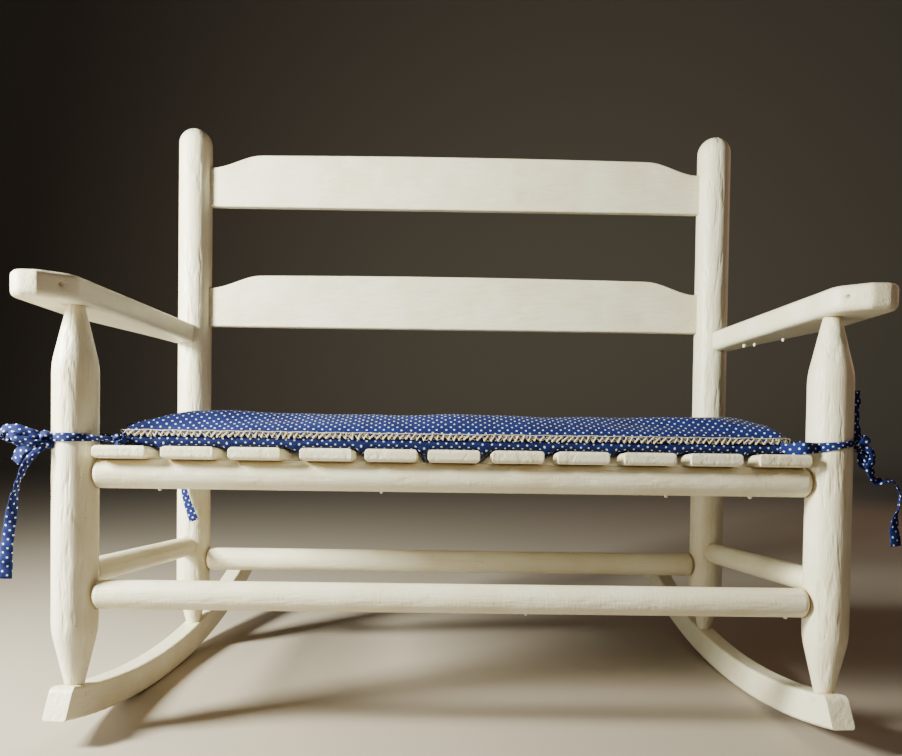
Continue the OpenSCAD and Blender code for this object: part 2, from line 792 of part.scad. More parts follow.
module seat_slat(i) {
    length = slat_front + seat_run + slat_rear;
    color(paint) at_rest() difference() {
        on_seat() translate([slat_x(i), 0, slat_under + slat_t / 2]) intersection() {
            translate([0, length / 2 - slat_front, 0])
                rotate([90, 0, 0])
                    linear_extrude(length + 2 * past, center = true)
                        rounded_rect(slat_w, slat_t, slat_edge_r, $fn = 32);
            translate([0, length / 2 - slat_front, 0])
                rotate([90, 0, 90])
                    linear_extrude(slat_w + 2 * past, center = true)
                        rounded_rect(length, slat_t, slat_edge_r, $fn = 32);
        }
        for (right = [true, false])
            on_side(right) translate([rear_x, post_depth, rear_rail_h])
                cylinder(r = post_r + slat_notch_gap, h = 2 * post_d, center = true);
        for (front = [true, false])
            slat_nail_place(i, front) nail_hole(slat_nail_length);
    }
}

// Nails and screws

module slat_nails() {
    color(steel) at_rest()
        for (i = [0:slat_count - 1], front = [true, false])
            slat_nail_place(i, front) nail(slat_nail_length);
}

module rail_nails() {
    color(steel) at_rest()
        for (right = [true, false]) on_side(right) {
            translate([front_x, 0, front_rail_h]) across_tenon() nail(tenon_nail_length);
            translate([rear_x, post_depth, rear_rail_h]) across_tenon() nail(tenon_nail_length);
        }
}

module stretcher_nails() {
    color(steel) at_rest()
        for (right = [true, false]) on_side(right) {
            translate([front_x, 0, front_stretcher_h]) across_tenon() nail(tenon_nail_length);
            translate([rear_x, post_depth, rear_stretcher_h]) across_tenon() nail(tenon_nail_length);
            translate([front_x, 0, side_stretcher_h]) side_tenon_nail(true) nail(tenon_nail_length);
            translate([rear_x, post_depth, side_stretcher_h])
                side_tenon_nail(false) nail(tenon_nail_length);
        }
}

module back_slat_nails() {
    color(steel) at_rest()
        for (right = [true, false], h = [lower_slat_h, top_slat_h])
            on_side(right) back_nail_place(h) nail(back_nail_length);
}

module rocker_nails() {
    color(steel) at_rest()
        for (right = [true, false], p = [[0, front_foot_h], [side_run, rear_foot_h]])
            on_side(right) side_plane() translate([0, p[0], 0])
                foot_nail_place(p[1]) nail(foot_nail_length);
}

module arm_nails() {
    color(steel) at_rest()
        for (right = [true, false])
            on_side(right) translate([front_x, 0, 0]) arm_nail_place() nail(arm_nail_length);
}

module arm_screws() {
    color(steel) at_rest()
        for (right = [true, false]) on_side(right) arm_screw_place() screw_solid();
}

// Cushion, in the seat's plane with height 0 on top of the slats

cushion_half_w = front_x - post_r - cushion_end_gap;
cushion_y0 = -cushion_front;
cushion_y1 = post_depth - post_r - cushion_rear_gap;
cushion_half_d = (cushion_y1 - cushion_y0) / 2;
cushion_mid_y = (cushion_y0 + cushion_y1) / 2;
// The underside rolls up to the seam over this length
under_roll = 12;
cushion_nx = 34;
cushion_ny = 16;
// The crown falls by this share of its height towards the front and rear edges
cushion_fall = 0.08;
function swell(d, roll) = d >= roll ? 1 : sqrt(max(0, 1 - sq(1 - d / roll)));
// Even steps of angle put more points near the edges, where the form turns
function across(i, n) = -cos(180 * i / n);
// A point of the square [-1, 1] by [-1, 1] on the cushion's plan, which has round corners and sides
// that are drawn in between them
function cushion_plan(u, v) =
    let (core = [cushion_half_w, cushion_half_d] - cushion_corner_r * [1, 1],
        x = cushion_half_w * abs(u), y = cushion_half_d * abs(v),
        dx = max(0, x - core[0]), dy = max(0, y - core[1]),
        shrink = dx > 0 && dy > 0 ? max(dx, dy) / norm([dx, dy]) : 1)
    [sign(u) * (min(x, core[0]) + dx * shrink) - cushion_drawn_in * u * (1 - sq(v)),
        cushion_mid_y + sign(v) * (min(y, core[1]) + dy * shrink) - cushion_drawn_in * v * (1 - sq(u))];
// Where a tie leaves a corner of the cushion, just outside the braid; side is -1 in front, 1 behind
function tie_corner(side) =
    let (in = cushion_corner_r * (1 - cos(45)), out = (2 * soft_gap + trim_t) * cos(45))
    [cushion_half_w - in + out, cushion_mid_y + side * (cushion_half_d - in + out)];
function cushion_top(u, v) =
    cushion_seam_h + (cushion_crown_h - cushion_seam_h)
        * swell(cushion_half_w * (1 + u), cushion_roll_left)
        * swell(cushion_half_w * (1 - u), cushion_roll_right)
        * swell(cushion_half_d * (1 - abs(v)), cushion_roll_long) * (1 - cushion_fall * sq(v));
function cushion_under(u, v) =
    cushion_seam_h - (cushion_seam_h - soft_gap)
        * swell(cushion_half_w * (1 - abs(u)), under_roll)
        * swell(cushion_half_d * (1 - abs(v)), under_roll);

module cushion() {
    nx = cushion_nx;
    ny = cushion_ny;
    top = [for (i = [0:nx], j = [0:ny]) let (u = across(i, nx), v = across(j, ny), p = cushion_plan(u, v))
        [p[0], p[1], cushion_top(u, v)]];
    under = [for (i = [1:nx - 1], j = [1:ny - 1])
        let (u = across(i, nx), v = across(j, ny), p = cushion_plan(u, v))
        [p[0], p[1], cushion_under(u, v)]];
    function at_top(p) = p[0] * (ny + 1) + p[1];
    function at_under(p) = p[0] == 0 || p[0] == nx || p[1] == 0 || p[1] == ny
        ? at_top(p) : len(top) + (p[0] - 1) * (ny - 1) + p[1] - 1;
    // Each cell is split along the diagonal that points away from the nearest corner
    function halves(i, j) = let (a = [i, j], b = [i, j + 1], c = [i + 1, j + 1], d = [i + 1, j])
        (i < nx / 2) == (j < ny / 2) ? [[a, b, c], [a, c, d]] : [[a, b, d], [b, c, d]];
    color(cotton) at_rest() on_seat() translate([0, 0, slat_top])
        polyhedron(
            points = concat(top, under),
            faces = [for (i = [0:nx - 1], j = [0:ny - 1], h = halves(i, j))
                each [[at_top(h[0]), at_top(h[1]), at_top(h[2])],
                    [at_under(h[2]), at_under(h[1]), at_under(h[0])]]]);
}

// Braid sewn along the seam, a band that follows the cushion's edge all round
rim = concat(
    [for (i = [0:cushion_nx - 1]) cushion_plan(across(i, cushion_nx), -1)],
    [for (j = [0:cushion_ny - 1]) cushion_plan(1, across(j, cushion_ny))],
    [for (i = [cushion_nx:-1:1]) cushion_plan(across(i, cushion_nx), 1)],
    [for (j = [cushion_ny:-1:1]) cushion_plan(-1, across(j, cushion_ny))]);

module cushion_trim() {
    n = len(rim);
    inner = inset(rim, -soft_gap);
    outer = inset(rim, -soft_gap - trim_t);
    low = cushion_seam_h - trim_w / 2;
    high = cushion_seam_h + trim_w / 2;
    corners = [for (p = inner) [p[0], p[1], low], for (p = outer) [p[0], p[1], low],
        for (p = outer) [p[0], p[1], high], for (p = inner) [p[0], p[1], high]];
    color(braid) at_rest() on_seat() translate([0, 0, slat_top])
        polyhedron(
            points = corners,
            faces = [for (side = [0:3]) for (i = [0:n - 1])
                let (j = (i + 1) % n, next = (side + 1) % 4)
                [side * n + i, side * n + j, next * n + j, next * n + i]]);
}

// Ties: a flat strap from the cushion's corner round the post, a knot, and hanging tails

// Closed loop of strap round a post, drawn out to a point at the cushion's corner; height is centred
module post_loop(corner) {
    reach = norm(corner);
    heading = atan2(corner[1], corner[0]);
    linear_extrude(tie_w, center = true) difference() {
        drop_shape(post_r + soft_gap + tie_t, reach, heading);
        drop_shape(post_r + soft_gap, reach - 2 * tie_t, heading);
    }
}

loop_steps = 36;
module drop_shape(r, reach, heading) {
    spread = acos(r / reach);
    polygon(concat(
        arc_points([0, 0], r, heading + spread, heading + 360 - spread, loop_steps),
        [reach * [cos(heading), sin(heading)]]));
}

// Flat end of a tie along a route of [x, z] points, as it hangs facing the front
module ribbon(route) {
    n = len(route);
    sides = [for (i = [0:n - 1])
        let (along = unit(route[min(i + 1, n - 1)] - route[max(i - 1, 0)]))
        [-along[1], along[0]] * tie_w / 2];
    rotate([90, 0, 0])
        linear_extrude(tie_t, center = true)
            polygon(concat(
                [for (i = [0:n - 1]) route[i] + sides[i]],
                [for (i = [n - 1:-1:0]) route[i] - sides[i]]));
}

// Heights of the loops, on the cushion's seam at the front and at the rear
front_tie_h = front_rail_h + slat_top + cushion_seam_h;
rear_tie_h = front_rail_h + (slat_top + cushion_seam_h) * cos(seat_tilt)
    + cushion_y1 * sin(seat_tilt);
// A knot is drawn tight against the post; its place round the post is counted from straight out
knot_at = post_r + soft_gap + tie_t / 2 + knot_r;
front_knot_turn = -18;
rear_knot_turn = -85;
front_knot = knot_at * [cos(front_knot_turn), sin(front_knot_turn)];
rear_knot = knot_at * [cos(rear_knot_turn), sin(rear_knot_turn)];
// How far the front ties' tails hang out from their knots
tail_out = post_r + tie_hang - tie_w / 2 - front_knot[0];

module front_tie(right) {
    tail = right
        ? [[0, 0], [3, -14], [11, -25], [20, -30], [tail_out - 2, -41], [tail_out, -56], [tail_out, -72]]
        : [[0, 0], [4, -14], [11, -28], [18, -46], [24, -70], [tail_out - 1, -94], [tail_out, -114]];
    bow = right
        ? [[0, 0], [1, 14], [1, 27], [2, 42]]
        : [[0, 0], [12, 5], [22, 6], [30, 2]];
    color(cotton) at_rest() on_side(right) translate([front_x, 0, front_tie_h]) {
        post_loop(tie_corner(-1) - [front_x, 0]);
        translate(front_knot) {
            sphere(knot_r);
            ribbon(tail);
            ribbon(bow);
        }
    }
}

module rear_tie(right) {
    tail = [[0, 0], [2, -12], [2, -24], [-1, -40], [-5, -56], [-9, -72]];
    color(cotton) at_rest() on_side(right) translate([rear_x, post_depth, rear_tie_h]) {
        post_loop(tie_corner(1) - [rear_x, post_depth]);
        translate(rear_knot) {
            sphere(knot_r);
            ribbon(tail);
        }
    }
}

front_post(false);  // front_post_left
front_post(true);  // front_post_right
rear_post(false);  // rear_post_left
rear_post(true);  // rear_post_right
rocker(false);  // rocker_left
rocker(true);  // rocker_right
arm(false);  // arm_left
arm(true);  // arm_right
back_slat(top_slat_h);  // back_slat_top
back_slat(lower_slat_h);  // back_slat_lower
seat_rail(true);  // seat_rail_front
seat_rail(false);  // seat_rail_rear
cross_stretcher(true);  // stretcher_front
cross_stretcher(false);  // stretcher_rear
side_stretcher(false);  // stretcher_left
side_stretcher(true);  // stretcher_right
seat_slat(0);  // seat_slat_01
seat_slat(1);  // seat_slat_02
seat_slat(2);  // seat_slat_03
seat_slat(3);  // seat_slat_04
seat_slat(4);  // seat_slat_05
seat_slat(5);  // seat_slat_06
seat_slat(6);  // seat_slat_07
seat_slat(7);  // seat_slat_08
seat_slat(8);  // seat_slat_09
seat_slat(9);  // seat_slat_10
seat_slat(10);  // seat_slat_11
slat_nails();
rail_nails();
stretcher_nails();
back_slat_nails();
rocker_nails();
arm_nails();
arm_screws();
cushion();
cushion_trim();
front_tie(false);  // tie_front_left
front_tie(true);  // tie_front_right
rear_tie(false);  // tie_rear_left
rear_tie(true);  // tie_rear_right
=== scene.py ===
import math

import bpy
import numpy as np
from mathutils import Matrix, Vector


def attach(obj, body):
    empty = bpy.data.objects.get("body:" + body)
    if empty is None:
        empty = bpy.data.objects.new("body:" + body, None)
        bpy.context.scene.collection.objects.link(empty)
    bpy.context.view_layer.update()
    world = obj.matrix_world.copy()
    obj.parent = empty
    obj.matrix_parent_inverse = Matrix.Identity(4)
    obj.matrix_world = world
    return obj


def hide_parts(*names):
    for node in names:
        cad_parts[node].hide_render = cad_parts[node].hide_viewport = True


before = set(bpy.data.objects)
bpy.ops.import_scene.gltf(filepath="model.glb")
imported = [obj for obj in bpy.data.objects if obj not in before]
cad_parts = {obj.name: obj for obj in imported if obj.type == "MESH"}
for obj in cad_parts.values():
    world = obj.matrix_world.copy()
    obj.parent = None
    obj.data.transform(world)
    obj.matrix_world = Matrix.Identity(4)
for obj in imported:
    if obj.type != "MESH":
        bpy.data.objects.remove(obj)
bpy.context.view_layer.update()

bl_info = {
    "name": "Child's double rocking bench",
    "version": (1, 0, 0),
    "blender": (4, 2, 0),
    "location": "3D View > Sidebar > Bench",
    "description": "Dresses the painted wooden bench with its finish, cushion, braid and ties",
    "category": "Object",
}

MM = 0.001

# The bench's own frame, in millimetres: X to the right, Y back from the front posts' axes, Z up from
# the rockers' lowest point with the posts upright. At rest the bench leans back by LEAN.
LEAN = math.radians(3.7)
REST_Y, REST_Z = -192.306, 8.051
FRONT_X, REAR_X, POST_DEPTH, POST_R = 303.5, 284.5, 229.0, 17.45
# The seat's own plane: height 0 is the top of the slats, Y runs back along them
SEAT_TILT = math.radians(-2.0514)
SEAT_ORIGIN_H, SLAT_TOP = 205.4, 21.8
SLAT_X = np.array([-261.95, -208.56, -156.17, -100.28, -49.39, 0.0, 50.39, 101.78, 154.17, 206.56, 260.95])
# The cushion's grid: the row that the piping follows, counted from 0 at the left end, the rows over
# each rolled side, and the angle by which a side curls under
PIPING_ROW, ROLL_ROWS, ROLL_UNDER = 4, 9, math.radians(20)
# Frames for which the cloth swells, how far a point may move in millimetres, and the underside's share
SWELL_FRAMES, SWELL_REACH, SWELL_UNDER = 20, 5.0, 0.25
# Width of the ties' tape, and how far its middle lies off the post, in millimetres
TIE_W, TIE_OFF = 9.5, 1.3
# Radius to which coats of paint have rounded the arms' edges and the others, in millimetres
ARM_SOFT, EDGE_SOFT = 7, 1.2
# How far the edges of the printed dots stray, in pitches of the print
RAGGED = 0.05
# Backdrop in metres: half width, front end, start and radius of the rise, and top
FLOOR_HALF, FLOOR_FRONT, RISE_AT, RISE_R, FLOOR_TOP = 5.0, -3.0, 2.6, 1.2, 5.0


def bench_to_world(points):
    """Millimetres in the bench's upright frame to metres in the row frame: turned back by LEAN, then
    moved so that the rockers stand on height 0."""
    x, y, z = np.moveaxis(np.asarray(points, float), -1, 0)
    c, s = math.cos(LEAN), math.sin(LEAN)
    return np.stack([x, y * c + z * s + REST_Y, z * c - y * s + REST_Z], -1) * MM


def seat_to_bench(points):
    """A point of the seat's plane in the bench's upright frame: turned by SEAT_TILT about the front
    rail's axis, both in millimetres."""
    x, y, z = np.moveaxis(np.asarray(points, float), -1, 0)
    c, s = math.cos(SEAT_TILT), math.sin(SEAT_TILT)
    h = z + SLAT_TOP
    return np.stack([x, y * c - h * s, y * s + h * c + SEAT_ORIGIN_H], -1)


# Colours and materials

def linear(code):
    """sRGB hex code to linear RGBA: the standard sRGB curve undone for each channel."""
    c = np.array([int(code[i:i + 2], 16) / 255 for i in (1, 3, 5)])
    c = np.where(c <= 0.04045, c / 12.92, ((c + 0.055) / 1.055) ** 2.4)
    return (*c.tolist(), 1.0)


def set_inputs(tree, node, inputs):
    """Sets a node's inputs by name or number: a socket is linked, any other value is written."""
    for key, value in inputs.items():
        if isinstance(value, bpy.types.NodeSocket):
            tree.links.new(value, node.inputs[key])
        else:
            node.inputs[key].default_value = value


def add_node(tree, kind, settings=None, inputs=None):
    """Adds a node, sets its properties, and sets or links its inputs."""
    node = tree.nodes.new(kind)
    for key, value in (settings or {}).items():
        setattr(node, key, value)
    set_inputs(tree, node, inputs or {})
    return node


def new_material(name):
    """An empty node material with a Principled shader on its output."""
    material = bpy.data.materials.new(name)
    material.use_nodes = True
    tree = material.node_tree
    tree.nodes.clear()
    shader = add_node(tree, "ShaderNodeBsdfPrincipled")
    add_node(tree, "ShaderNodeOutputMaterial", inputs={"Surface": shader.outputs[0]})
    return material, tree, shader


def mix_colour(tree, factor, a, b):
    """Colour a blended towards b by factor; each may be a socket or a value."""
    return add_node(tree, "ShaderNodeMix", {"data_type": "RGBA"}, {0: factor, 6: a, 7: b}).outputs[2]


def scaled(tree, vector, per_mm):
    """A vector in metres stretched to pattern units: each axis times units per millimetre."""
    values = [v / MM for v in per_mm]
    return add_node(tree, "ShaderNodeVectorMath", {"operation": "MULTIPLY"},
                    {0: vector, 1: values}).outputs[0]


def ramp(tree, value, low, high, to_low=0.0, to_high=1.0):
    """A value mapped from low..high to to_low..to_high, smooth at both ends and held outside."""
    return add_node(tree, "ShaderNodeMapRange", {"interpolation_type": "SMOOTHSTEP"},
                    {0: value, 1: low, 2: high, 3: to_low, 4: to_high}).outputs[0]


def maths(tree, operation, a, b):
    """One arithmetic step on two values or sockets."""
    return add_node(tree, "ShaderNodeMath", {"operation": operation}, {0: a, 1: b}).outputs[0]


def painted_softwood(name, colours, grain, strokes, dent, soft):
    """Oil-based cream enamel brushed by hand over turned or sawn softwood: semi-gloss, about 0.1 mm
    thick, so that grain streaks and brush marks stay readable, yellowed in the corners, and
    darkened there with painted shade from an ambient occlusion mask.
    grain and strokes give pattern units per millimetre on each axis of the upright bench, dent is
    the share of the hollows in the bump, and soft the radius in millimetres to which coats of paint
    have rounded the edges."""
    material, tree, shader = new_material(name)
    place = add_node(tree, "ShaderNodeTexCoord").outputs["Object"]
    upright = add_node(tree, "ShaderNodeMapping", inputs={
        "Vector": place, "Rotation": (LEAN, 0, 0)}).outputs[0]
    # Streaks of the grain, brush marks, hollows and knocks 7 mm across the grain and up to 30 mm
    # along it, patches of 30 to 60 mm where the film is uneven, and specks of 3 mm
    patterns = ((upright, grain, 4.0, 0.6), (upright, strokes, 3.0, 0.55),
                (upright, [g * 0.15 + 0.03 for g in grain], 2.0, 0.5),
                (place, (0.025,) * 3, 3.0, 0.5), (place, (0.33,) * 3, 2.0, 0.6))
    streaks, brushed, hollows, patches, specks = (
        add_node(tree, "ShaderNodeTexNoise", inputs={
            "Vector": scaled(tree, vector, per_mm), "Scale": 1.0, "Detail": detail,
            "Roughness": fine}).outputs[0]
        for vector, per_mm, detail, fine in patterns)
    # Ambient occlusion picks out corners and joints. The yellowed colour mixed in there is partly painted
    # shade and partly the thick, dirty paint of the corners.
    corners = add_node(tree, "ShaderNodeAmbientOcclusion", {"samples": 6},
                       {"Distance": 9 * MM}).outputs["AO"]
    colour = linear(colours.paint)
    for mask, code in (
            (ramp(tree, patches, 0.35, 0.7), colours.paint_warm),
            (ramp(tree, streaks, 0.5, 0.75, 0.0, 0.45), colours.paint_grain),
            (ramp(tree, specks, 0.7, 0.78, 0.0, 0.6), colours.paint_worn),
            (ramp(tree, corners, 0.3, 0.75, 0.6, 0.0), colours.paint_yellowed_and_shade)):
        colour = mix_colour(tree, mask, colour, linear(code))
    height = maths(tree, "ADD", maths(tree, "MULTIPLY", streaks, 0.4), maths(tree, "MULTIPLY", brushed, 0.5))
    height = maths(tree, "ADD", height, maths(tree, "MULTIPLY", ramp(tree, hollows, 0.28, 0.55), dent))
    edges = add_node(tree, "ShaderNodeBevel", {"samples": 6}, {"Radius": soft * MM}).outputs[0]
    bump = add_node(tree, "ShaderNodeBump", inputs={
        "Strength": 0.9, "Distance": 0.45 * MM, "Height": height, "Normal": edges})
    rough = ramp(tree, brushed, 0.3, 0.7, 0.34, 0.46)
    set_inputs(tree, shader, {
        "Base Color": colour, "Roughness": rough, "Normal": bump.outputs[0], "IOR": 1.5})
    return material


def dotted_cotton(name, colours, ground, pitch=5.1, dot=1.55):
    """Dark blue plain-weave dress cotton printed with white pin dots: matt, with hardly any sheen.
    Dots of the width dot stand a pitch apart, both in millimetres, in rows turned by 44 degrees on
    the cloth's own UV map in metres; the weave of about 0.35 mm is drawn at 2.2 mm, so that it shows,
    because a Wave node repeats every 0.314 / scale."""
    material, tree, shader = new_material(name)
    cloth = add_node(tree, "ShaderNodeUVMap", {"uv_map": "cloth"}).outputs[0]
    turned = add_node(tree, "ShaderNodeMapping", inputs={
        "Vector": cloth, "Rotation": (0, 0, math.radians(44))}).outputs[0]
    dots = add_node(tree, "ShaderNodeTexVoronoi", {"voronoi_dimensions": "2D", "feature": "F1"}, {
        "Vector": turned, "Scale": 1 / (pitch * MM), "Randomness": 0.2}).outputs["Distance"]
    # The dots' edges are a little ragged, as printed on woven yarn
    ragged = add_node(tree, "ShaderNodeTexNoise", {"noise_dimensions": "2D"}, {
        "Vector": cloth, "Scale": 1 / (0.8 * MM), "Detail": 1.0}).outputs[0]
    edge = maths(tree, "ADD", dots, maths(tree, "MULTIPLY", ragged, RAGGED))
    shade = add_node(tree, "ShaderNodeTexNoise", {"noise_dimensions": "2D"}, {
        "Vector": cloth, "Scale": 1 / (22 * MM), "Detail": 3.0}).outputs[0]
    colour = mix_colour(tree, ramp(tree, shade, 0.3, 0.7), linear(ground), linear(colours.cotton_worn))
    rim = dot / pitch / 2 + RAGGED / 2
    inside = ramp(tree, edge, rim - 0.03, rim + 0.03, 1.0, 0.0)
    colour = mix_colour(tree, inside, colour, linear(colours.dots))
    weave = [add_node(tree, "ShaderNodeTexWave", {"wave_type": "BANDS", "bands_direction": axis}, {
        "Vector": cloth, "Scale": 2 / (0.7 * MM * 20), "Distortion": 0.0}).outputs[1] for axis in ("X", "Y")]
    bump = add_node(tree, "ShaderNodeBump", inputs={
        "Strength": 0.35, "Distance": 0.12 * MM, "Height": maths(tree, "MULTIPLY", *weave)})
    set_inputs(tree, shader, {
        "Base Color": colour, "Normal": bump.outputs[0], "Roughness": 0.82, "Specular IOR Level": 0.2,
        "Sheen Weight": 0.02, "Sheen Roughness": 0.45})
    return material


def cotton_yarn(name, colours):
    """Mercerised cotton yarn of the crocheted braid: off-white, matt with a slight lustre, and dirty
    in patches of 11 mm. The ply, about 0.6 mm on the real yarn, is drawn as noise 1.1 mm across."""
    material, tree, shader = new_material(name)
    place = add_node(tree, "ShaderNodeTexCoord").outputs["Object"]
    dirt = add_node(tree, "ShaderNodeTexNoise", inputs={
        "Vector": scaled(tree, place, (0.09,) * 3), "Scale": 1.0, "Detail": 3.0}).outputs[0]
    ply = add_node(tree, "ShaderNodeTexNoise", inputs={
        "Vector": scaled(tree, place, (0.9,) * 3), "Scale": 1.0, "Detail": 2.0}).outputs[0]
    soiled = ramp(tree, dirt, 0.35, 0.7, 0.0, 0.8)
    colour = mix_colour(tree, soiled, linear(colours.braid), linear(colours.braid_dirt))
    bump = add_node(tree, "ShaderNodeBump", inputs={"Strength": 0.8, "Distance": 0.3 * MM, "Height": ply})
    set_inputs(tree, shader, {"Base Color": colour, "Normal": bump.outputs[0], "Roughness": 0.75})
    return material


def matt_paper(name, code):
    """Uncoated backdrop paper: one even colour without gloss."""
    material, tree, shader = new_material(name)
    set_inputs(tree, shader, {"Base Color": linear(code), "Roughness": 0.9})
    return material


# Surfaces worked out as whole arrays

def grid_faces(rows, columns, close_columns=False):
    """Quads of a grid of rows by columns points, numbered row by row, with the last column joined to
    the first where asked."""
    i, j = np.meshgrid(np.arange(rows - 1), np.arange(columns - (not close_columns)), indexing="ij")
    a, b = i * columns + j, i * columns + (j + 1) % columns
    return np.stack([a, b, b + columns, a + columns], -1).reshape(-1, 4)


def make_mesh(name, points, faces, uv=None):
    """A mesh from world points, lists of faces and, where given, a UV pair for each corner."""
    mesh = bpy.data.meshes.new(name)
    mesh.from_pydata(points.tolist(), [], faces)
    if uv is not None:
        layer = mesh.uv_layers.new(name="cloth")
        layer.data.foreach_set("uv", np.asarray(uv, np.float32).ravel())
    mesh.polygons.foreach_set("use_smooth", np.ones(len(mesh.polygons), bool))
    mesh.update()
    return mesh


def vertex_places(mesh):
    """The mesh's vertices as an array of rows x, y, z."""
    places = np.empty(len(mesh.vertices) * 3)
    mesh.vertices.foreach_get("co", places)
    return places.reshape(-1, 3)


def move_vertices(mesh, places):
    """Puts the mesh's vertices at the given rows."""
    mesh.vertices.foreach_set("co", places.ravel())
    mesh.update()


def add_object(name, data):
    """A new object in the scene."""
    item = bpy.data.objects.new(name, data)
    bpy.context.scene.collection.objects.link(item)
    return item


def place_piece(name, mesh, material):
    """Links a finished mesh as a piece that rides on the bench."""
    piece = add_object(name, mesh)
    mesh.materials.append(material)
    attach(piece, "root")
    return piece


def smooth_path(points, step):
    """A smooth line through the points at even steps: a Catmull-Rom spline, resampled by its length.
    Extra columns, such as a facing direction, are carried along."""
    p = np.asarray(points, float)
    p = np.vstack([2 * p[0] - p[1], p, 2 * p[-1] - p[-2]])
    t = np.linspace(0, len(p) - 3, 40 * (len(p) - 3) + 1)
    k = np.minimum(t.astype(int), len(p) - 4)
    f = (t - k)[:, None]
    a, b, c, d = p[k], p[k + 1], p[k + 2], p[k + 3]
    line = 0.5 * (2 * b + (c - a) * f + (2 * a - 5 * b + 4 * c - d) * f ** 2
                  + (3 * b - a - 3 * c + d) * f ** 3)
    run = np.concatenate([[0], np.cumsum(np.linalg.norm(np.diff(line[:, :3], axis=0), axis=1))])
    at = np.linspace(0, run[-1], max(4, int(run[-1] / step) + 1))
    return np.stack([np.interp(at, run, line[:, n]) for n in range(line.shape[1])], 1), at


def unit(vectors):
    """Each row at length 1."""
    return vectors / np.maximum(np.linalg.norm(vectors, axis=1)[:, None], 1e-9)


def strip_uv(u, v):
    """UV pairs at the four corners of each quad of a tube: u round it and v along it."""
    grid = np.stack(np.meshgrid(u, v), -1)
    return np.stack([grid[:-1, :-1], grid[:-1, 1:], grid[1:, 1:], grid[1:, :-1]], 2).reshape(-1, 4, 2)


def tube_faces(rings, sides):
    """Faces of a tube of rings of points: its quads, and the first and the last ring as end faces."""
    ring = np.arange(sides)
    return grid_faces(rings, sides, close_columns=True), np.array([ring[::-1], (rings - 1) * sides + ring])


def yarn(line, radius, sides=6):
    """Round yarn along a line in the bench's frame: circles of the given radius square to it. Returns
    points, quads and end faces."""
    tangent = unit(np.gradient(line, axis=0))
    side = unit(np.cross(tangent, np.array([0.0, 1.0, 0.0])))
    up = np.cross(side, tangent)
    a = 2 * np.pi * np.arange(sides) / sides
    ring = side[:, None] * np.cos(a)[None, :, None] + up[:, None] * np.sin(a)[None, :, None]
    quads, ends = tube_faces(len(line), sides)
    return (line[:, None] + radius * ring).reshape(-1, 3), quads[:, ::-1], ends[:, ::-1]


def joined(parts):
    """Several tubes as one: all points in one array, and each tube's faces counted on from the last."""
    points, faces, first = [], [], 0
    for tube, quads, ends, *_ in parts:
        points.append(tube)
        faces += (quads + first).tolist() + (ends + first).tolist()
        first += len(tube)
    return np.vstack(points), faces


def cord(line, at, radius):
    """A covered cord along a line in the bench's frame, with UV pairs in metres: once round, and
    along its length."""
    sides = 10
    points, faces = joined([yarn(line, radius, sides)])
    uv = strip_uv(2 * np.pi * radius * np.arange(sides + 1) / sides * MM, at * MM)
    return points, faces, np.vstack([uv[:, ::-1].reshape(-1, 2), np.zeros((2 * sides, 2))])


def tape(route, width, thick, step=2.0, fold=0.0, taper=None, crumple=0.0):
    """Folded cloth tape along a route of rows x, y, z and facing direction, in the bench's frame.
    Section: a flat oval, half width times cos a raised to 0.6 and half thickness times sin a raised
    to 0.8, bent up by fold at its middle crease, on the facing direction made square to the line;
    taper scales the width along the tape, and crumple adds uneven waves. Returns points, quads, end
    faces, UV pairs in metres by corner, and the length in millimetres."""
    rows, at = smooth_path(route, step)
    line, facing = rows[:, :3], rows[:, 3:6]
    tangent = unit(np.gradient(line, axis=0))
    normal = unit(facing - (facing * tangent).sum(1)[:, None] * tangent)
    side = np.cross(tangent, normal)
    sides = 16
    a = 2 * np.pi * np.arange(sides) / sides
    x = np.sign(np.cos(a)) * np.abs(np.cos(a)) ** 0.6 * width / 2
    y = np.sign(np.sin(a)) * np.abs(np.sin(a)) ** 0.8 * thick / 2 + fold * (1 - 2 * np.abs(x) / width)
    wide = np.ones(len(at)) if taper is None else np.interp(at / at[-1], *zip(*taper))
    wave = crumple * np.sin(at[:, None] * 0.55 + 2.2 * x[None, :] / width) * (x[None, :] / width * 2)
    points = line[:, None] + side[:, None] * (x[None, :] * wide[:, None])[..., None] \
        + normal[:, None] * (y[None, :] + wave)[..., None]
    # The lower half of the section has its own stretch of cloth, beside the upper half's
    u = np.concatenate([x[:sides // 2 + 1], -x[sides // 2 + 1:] - width * 1.1, [x[0] - 2.2 * width]]) * MM
    uv = strip_uv(u, at * MM)
    corners = np.vstack([uv.reshape(-1, 2), np.broadcast_to(uv[0, 0], (2 * sides, 2))])
    return points.reshape(-1, 3), *tube_faces(len(at), sides), corners, at[-1]


# Cushion

def roll_profile(inset):
    """Rows from the rim up a rolled side: with angle from -ROLL_UNDER to 90 degrees, inwards by
    inset * (cos under - cos angle), and height share (sin angle + sin under) / (1 + sin under)."""
    a = np.linspace(-ROLL_UNDER, math.pi / 2, ROLL_ROWS)
    under = math.sin(ROLL_UNDER)
    return inset * (math.cos(ROLL_UNDER) - np.cos(a)), (np.sin(a) + under) / (1 + under)


def cushion_axis(half, roll_low, roll_high, cell):
    """Places along one axis of the cushion with height shares of the top and of the underside: a
    rolled low side, an even middle and a rolled high side. The underside's share rises from 0 at
    the rim to 1 five rows in."""
    low_in, low_up = roll_profile(roll_low)
    high_in, high_up = roll_profile(roll_high)
    start, stop = -half + low_in[-1], half - high_in[-1]
    middle = np.linspace(start, stop, int(round((stop - start) / cell)) + 1)[1:-1]
    x = np.concatenate([-half + low_in, middle, half - high_in[::-1]])
    top = np.concatenate([low_up, np.ones(len(middle)), high_up[::-1]])
    steps = np.arange(len(x))
    from_rim = np.minimum(steps, steps[::-1])
    flat = np.interp(from_rim, [0, 1, 2, 3, 4, 5], [0, 0.34, 0.64, 0.84, 0.95, 1.0])
    return x, top, flat


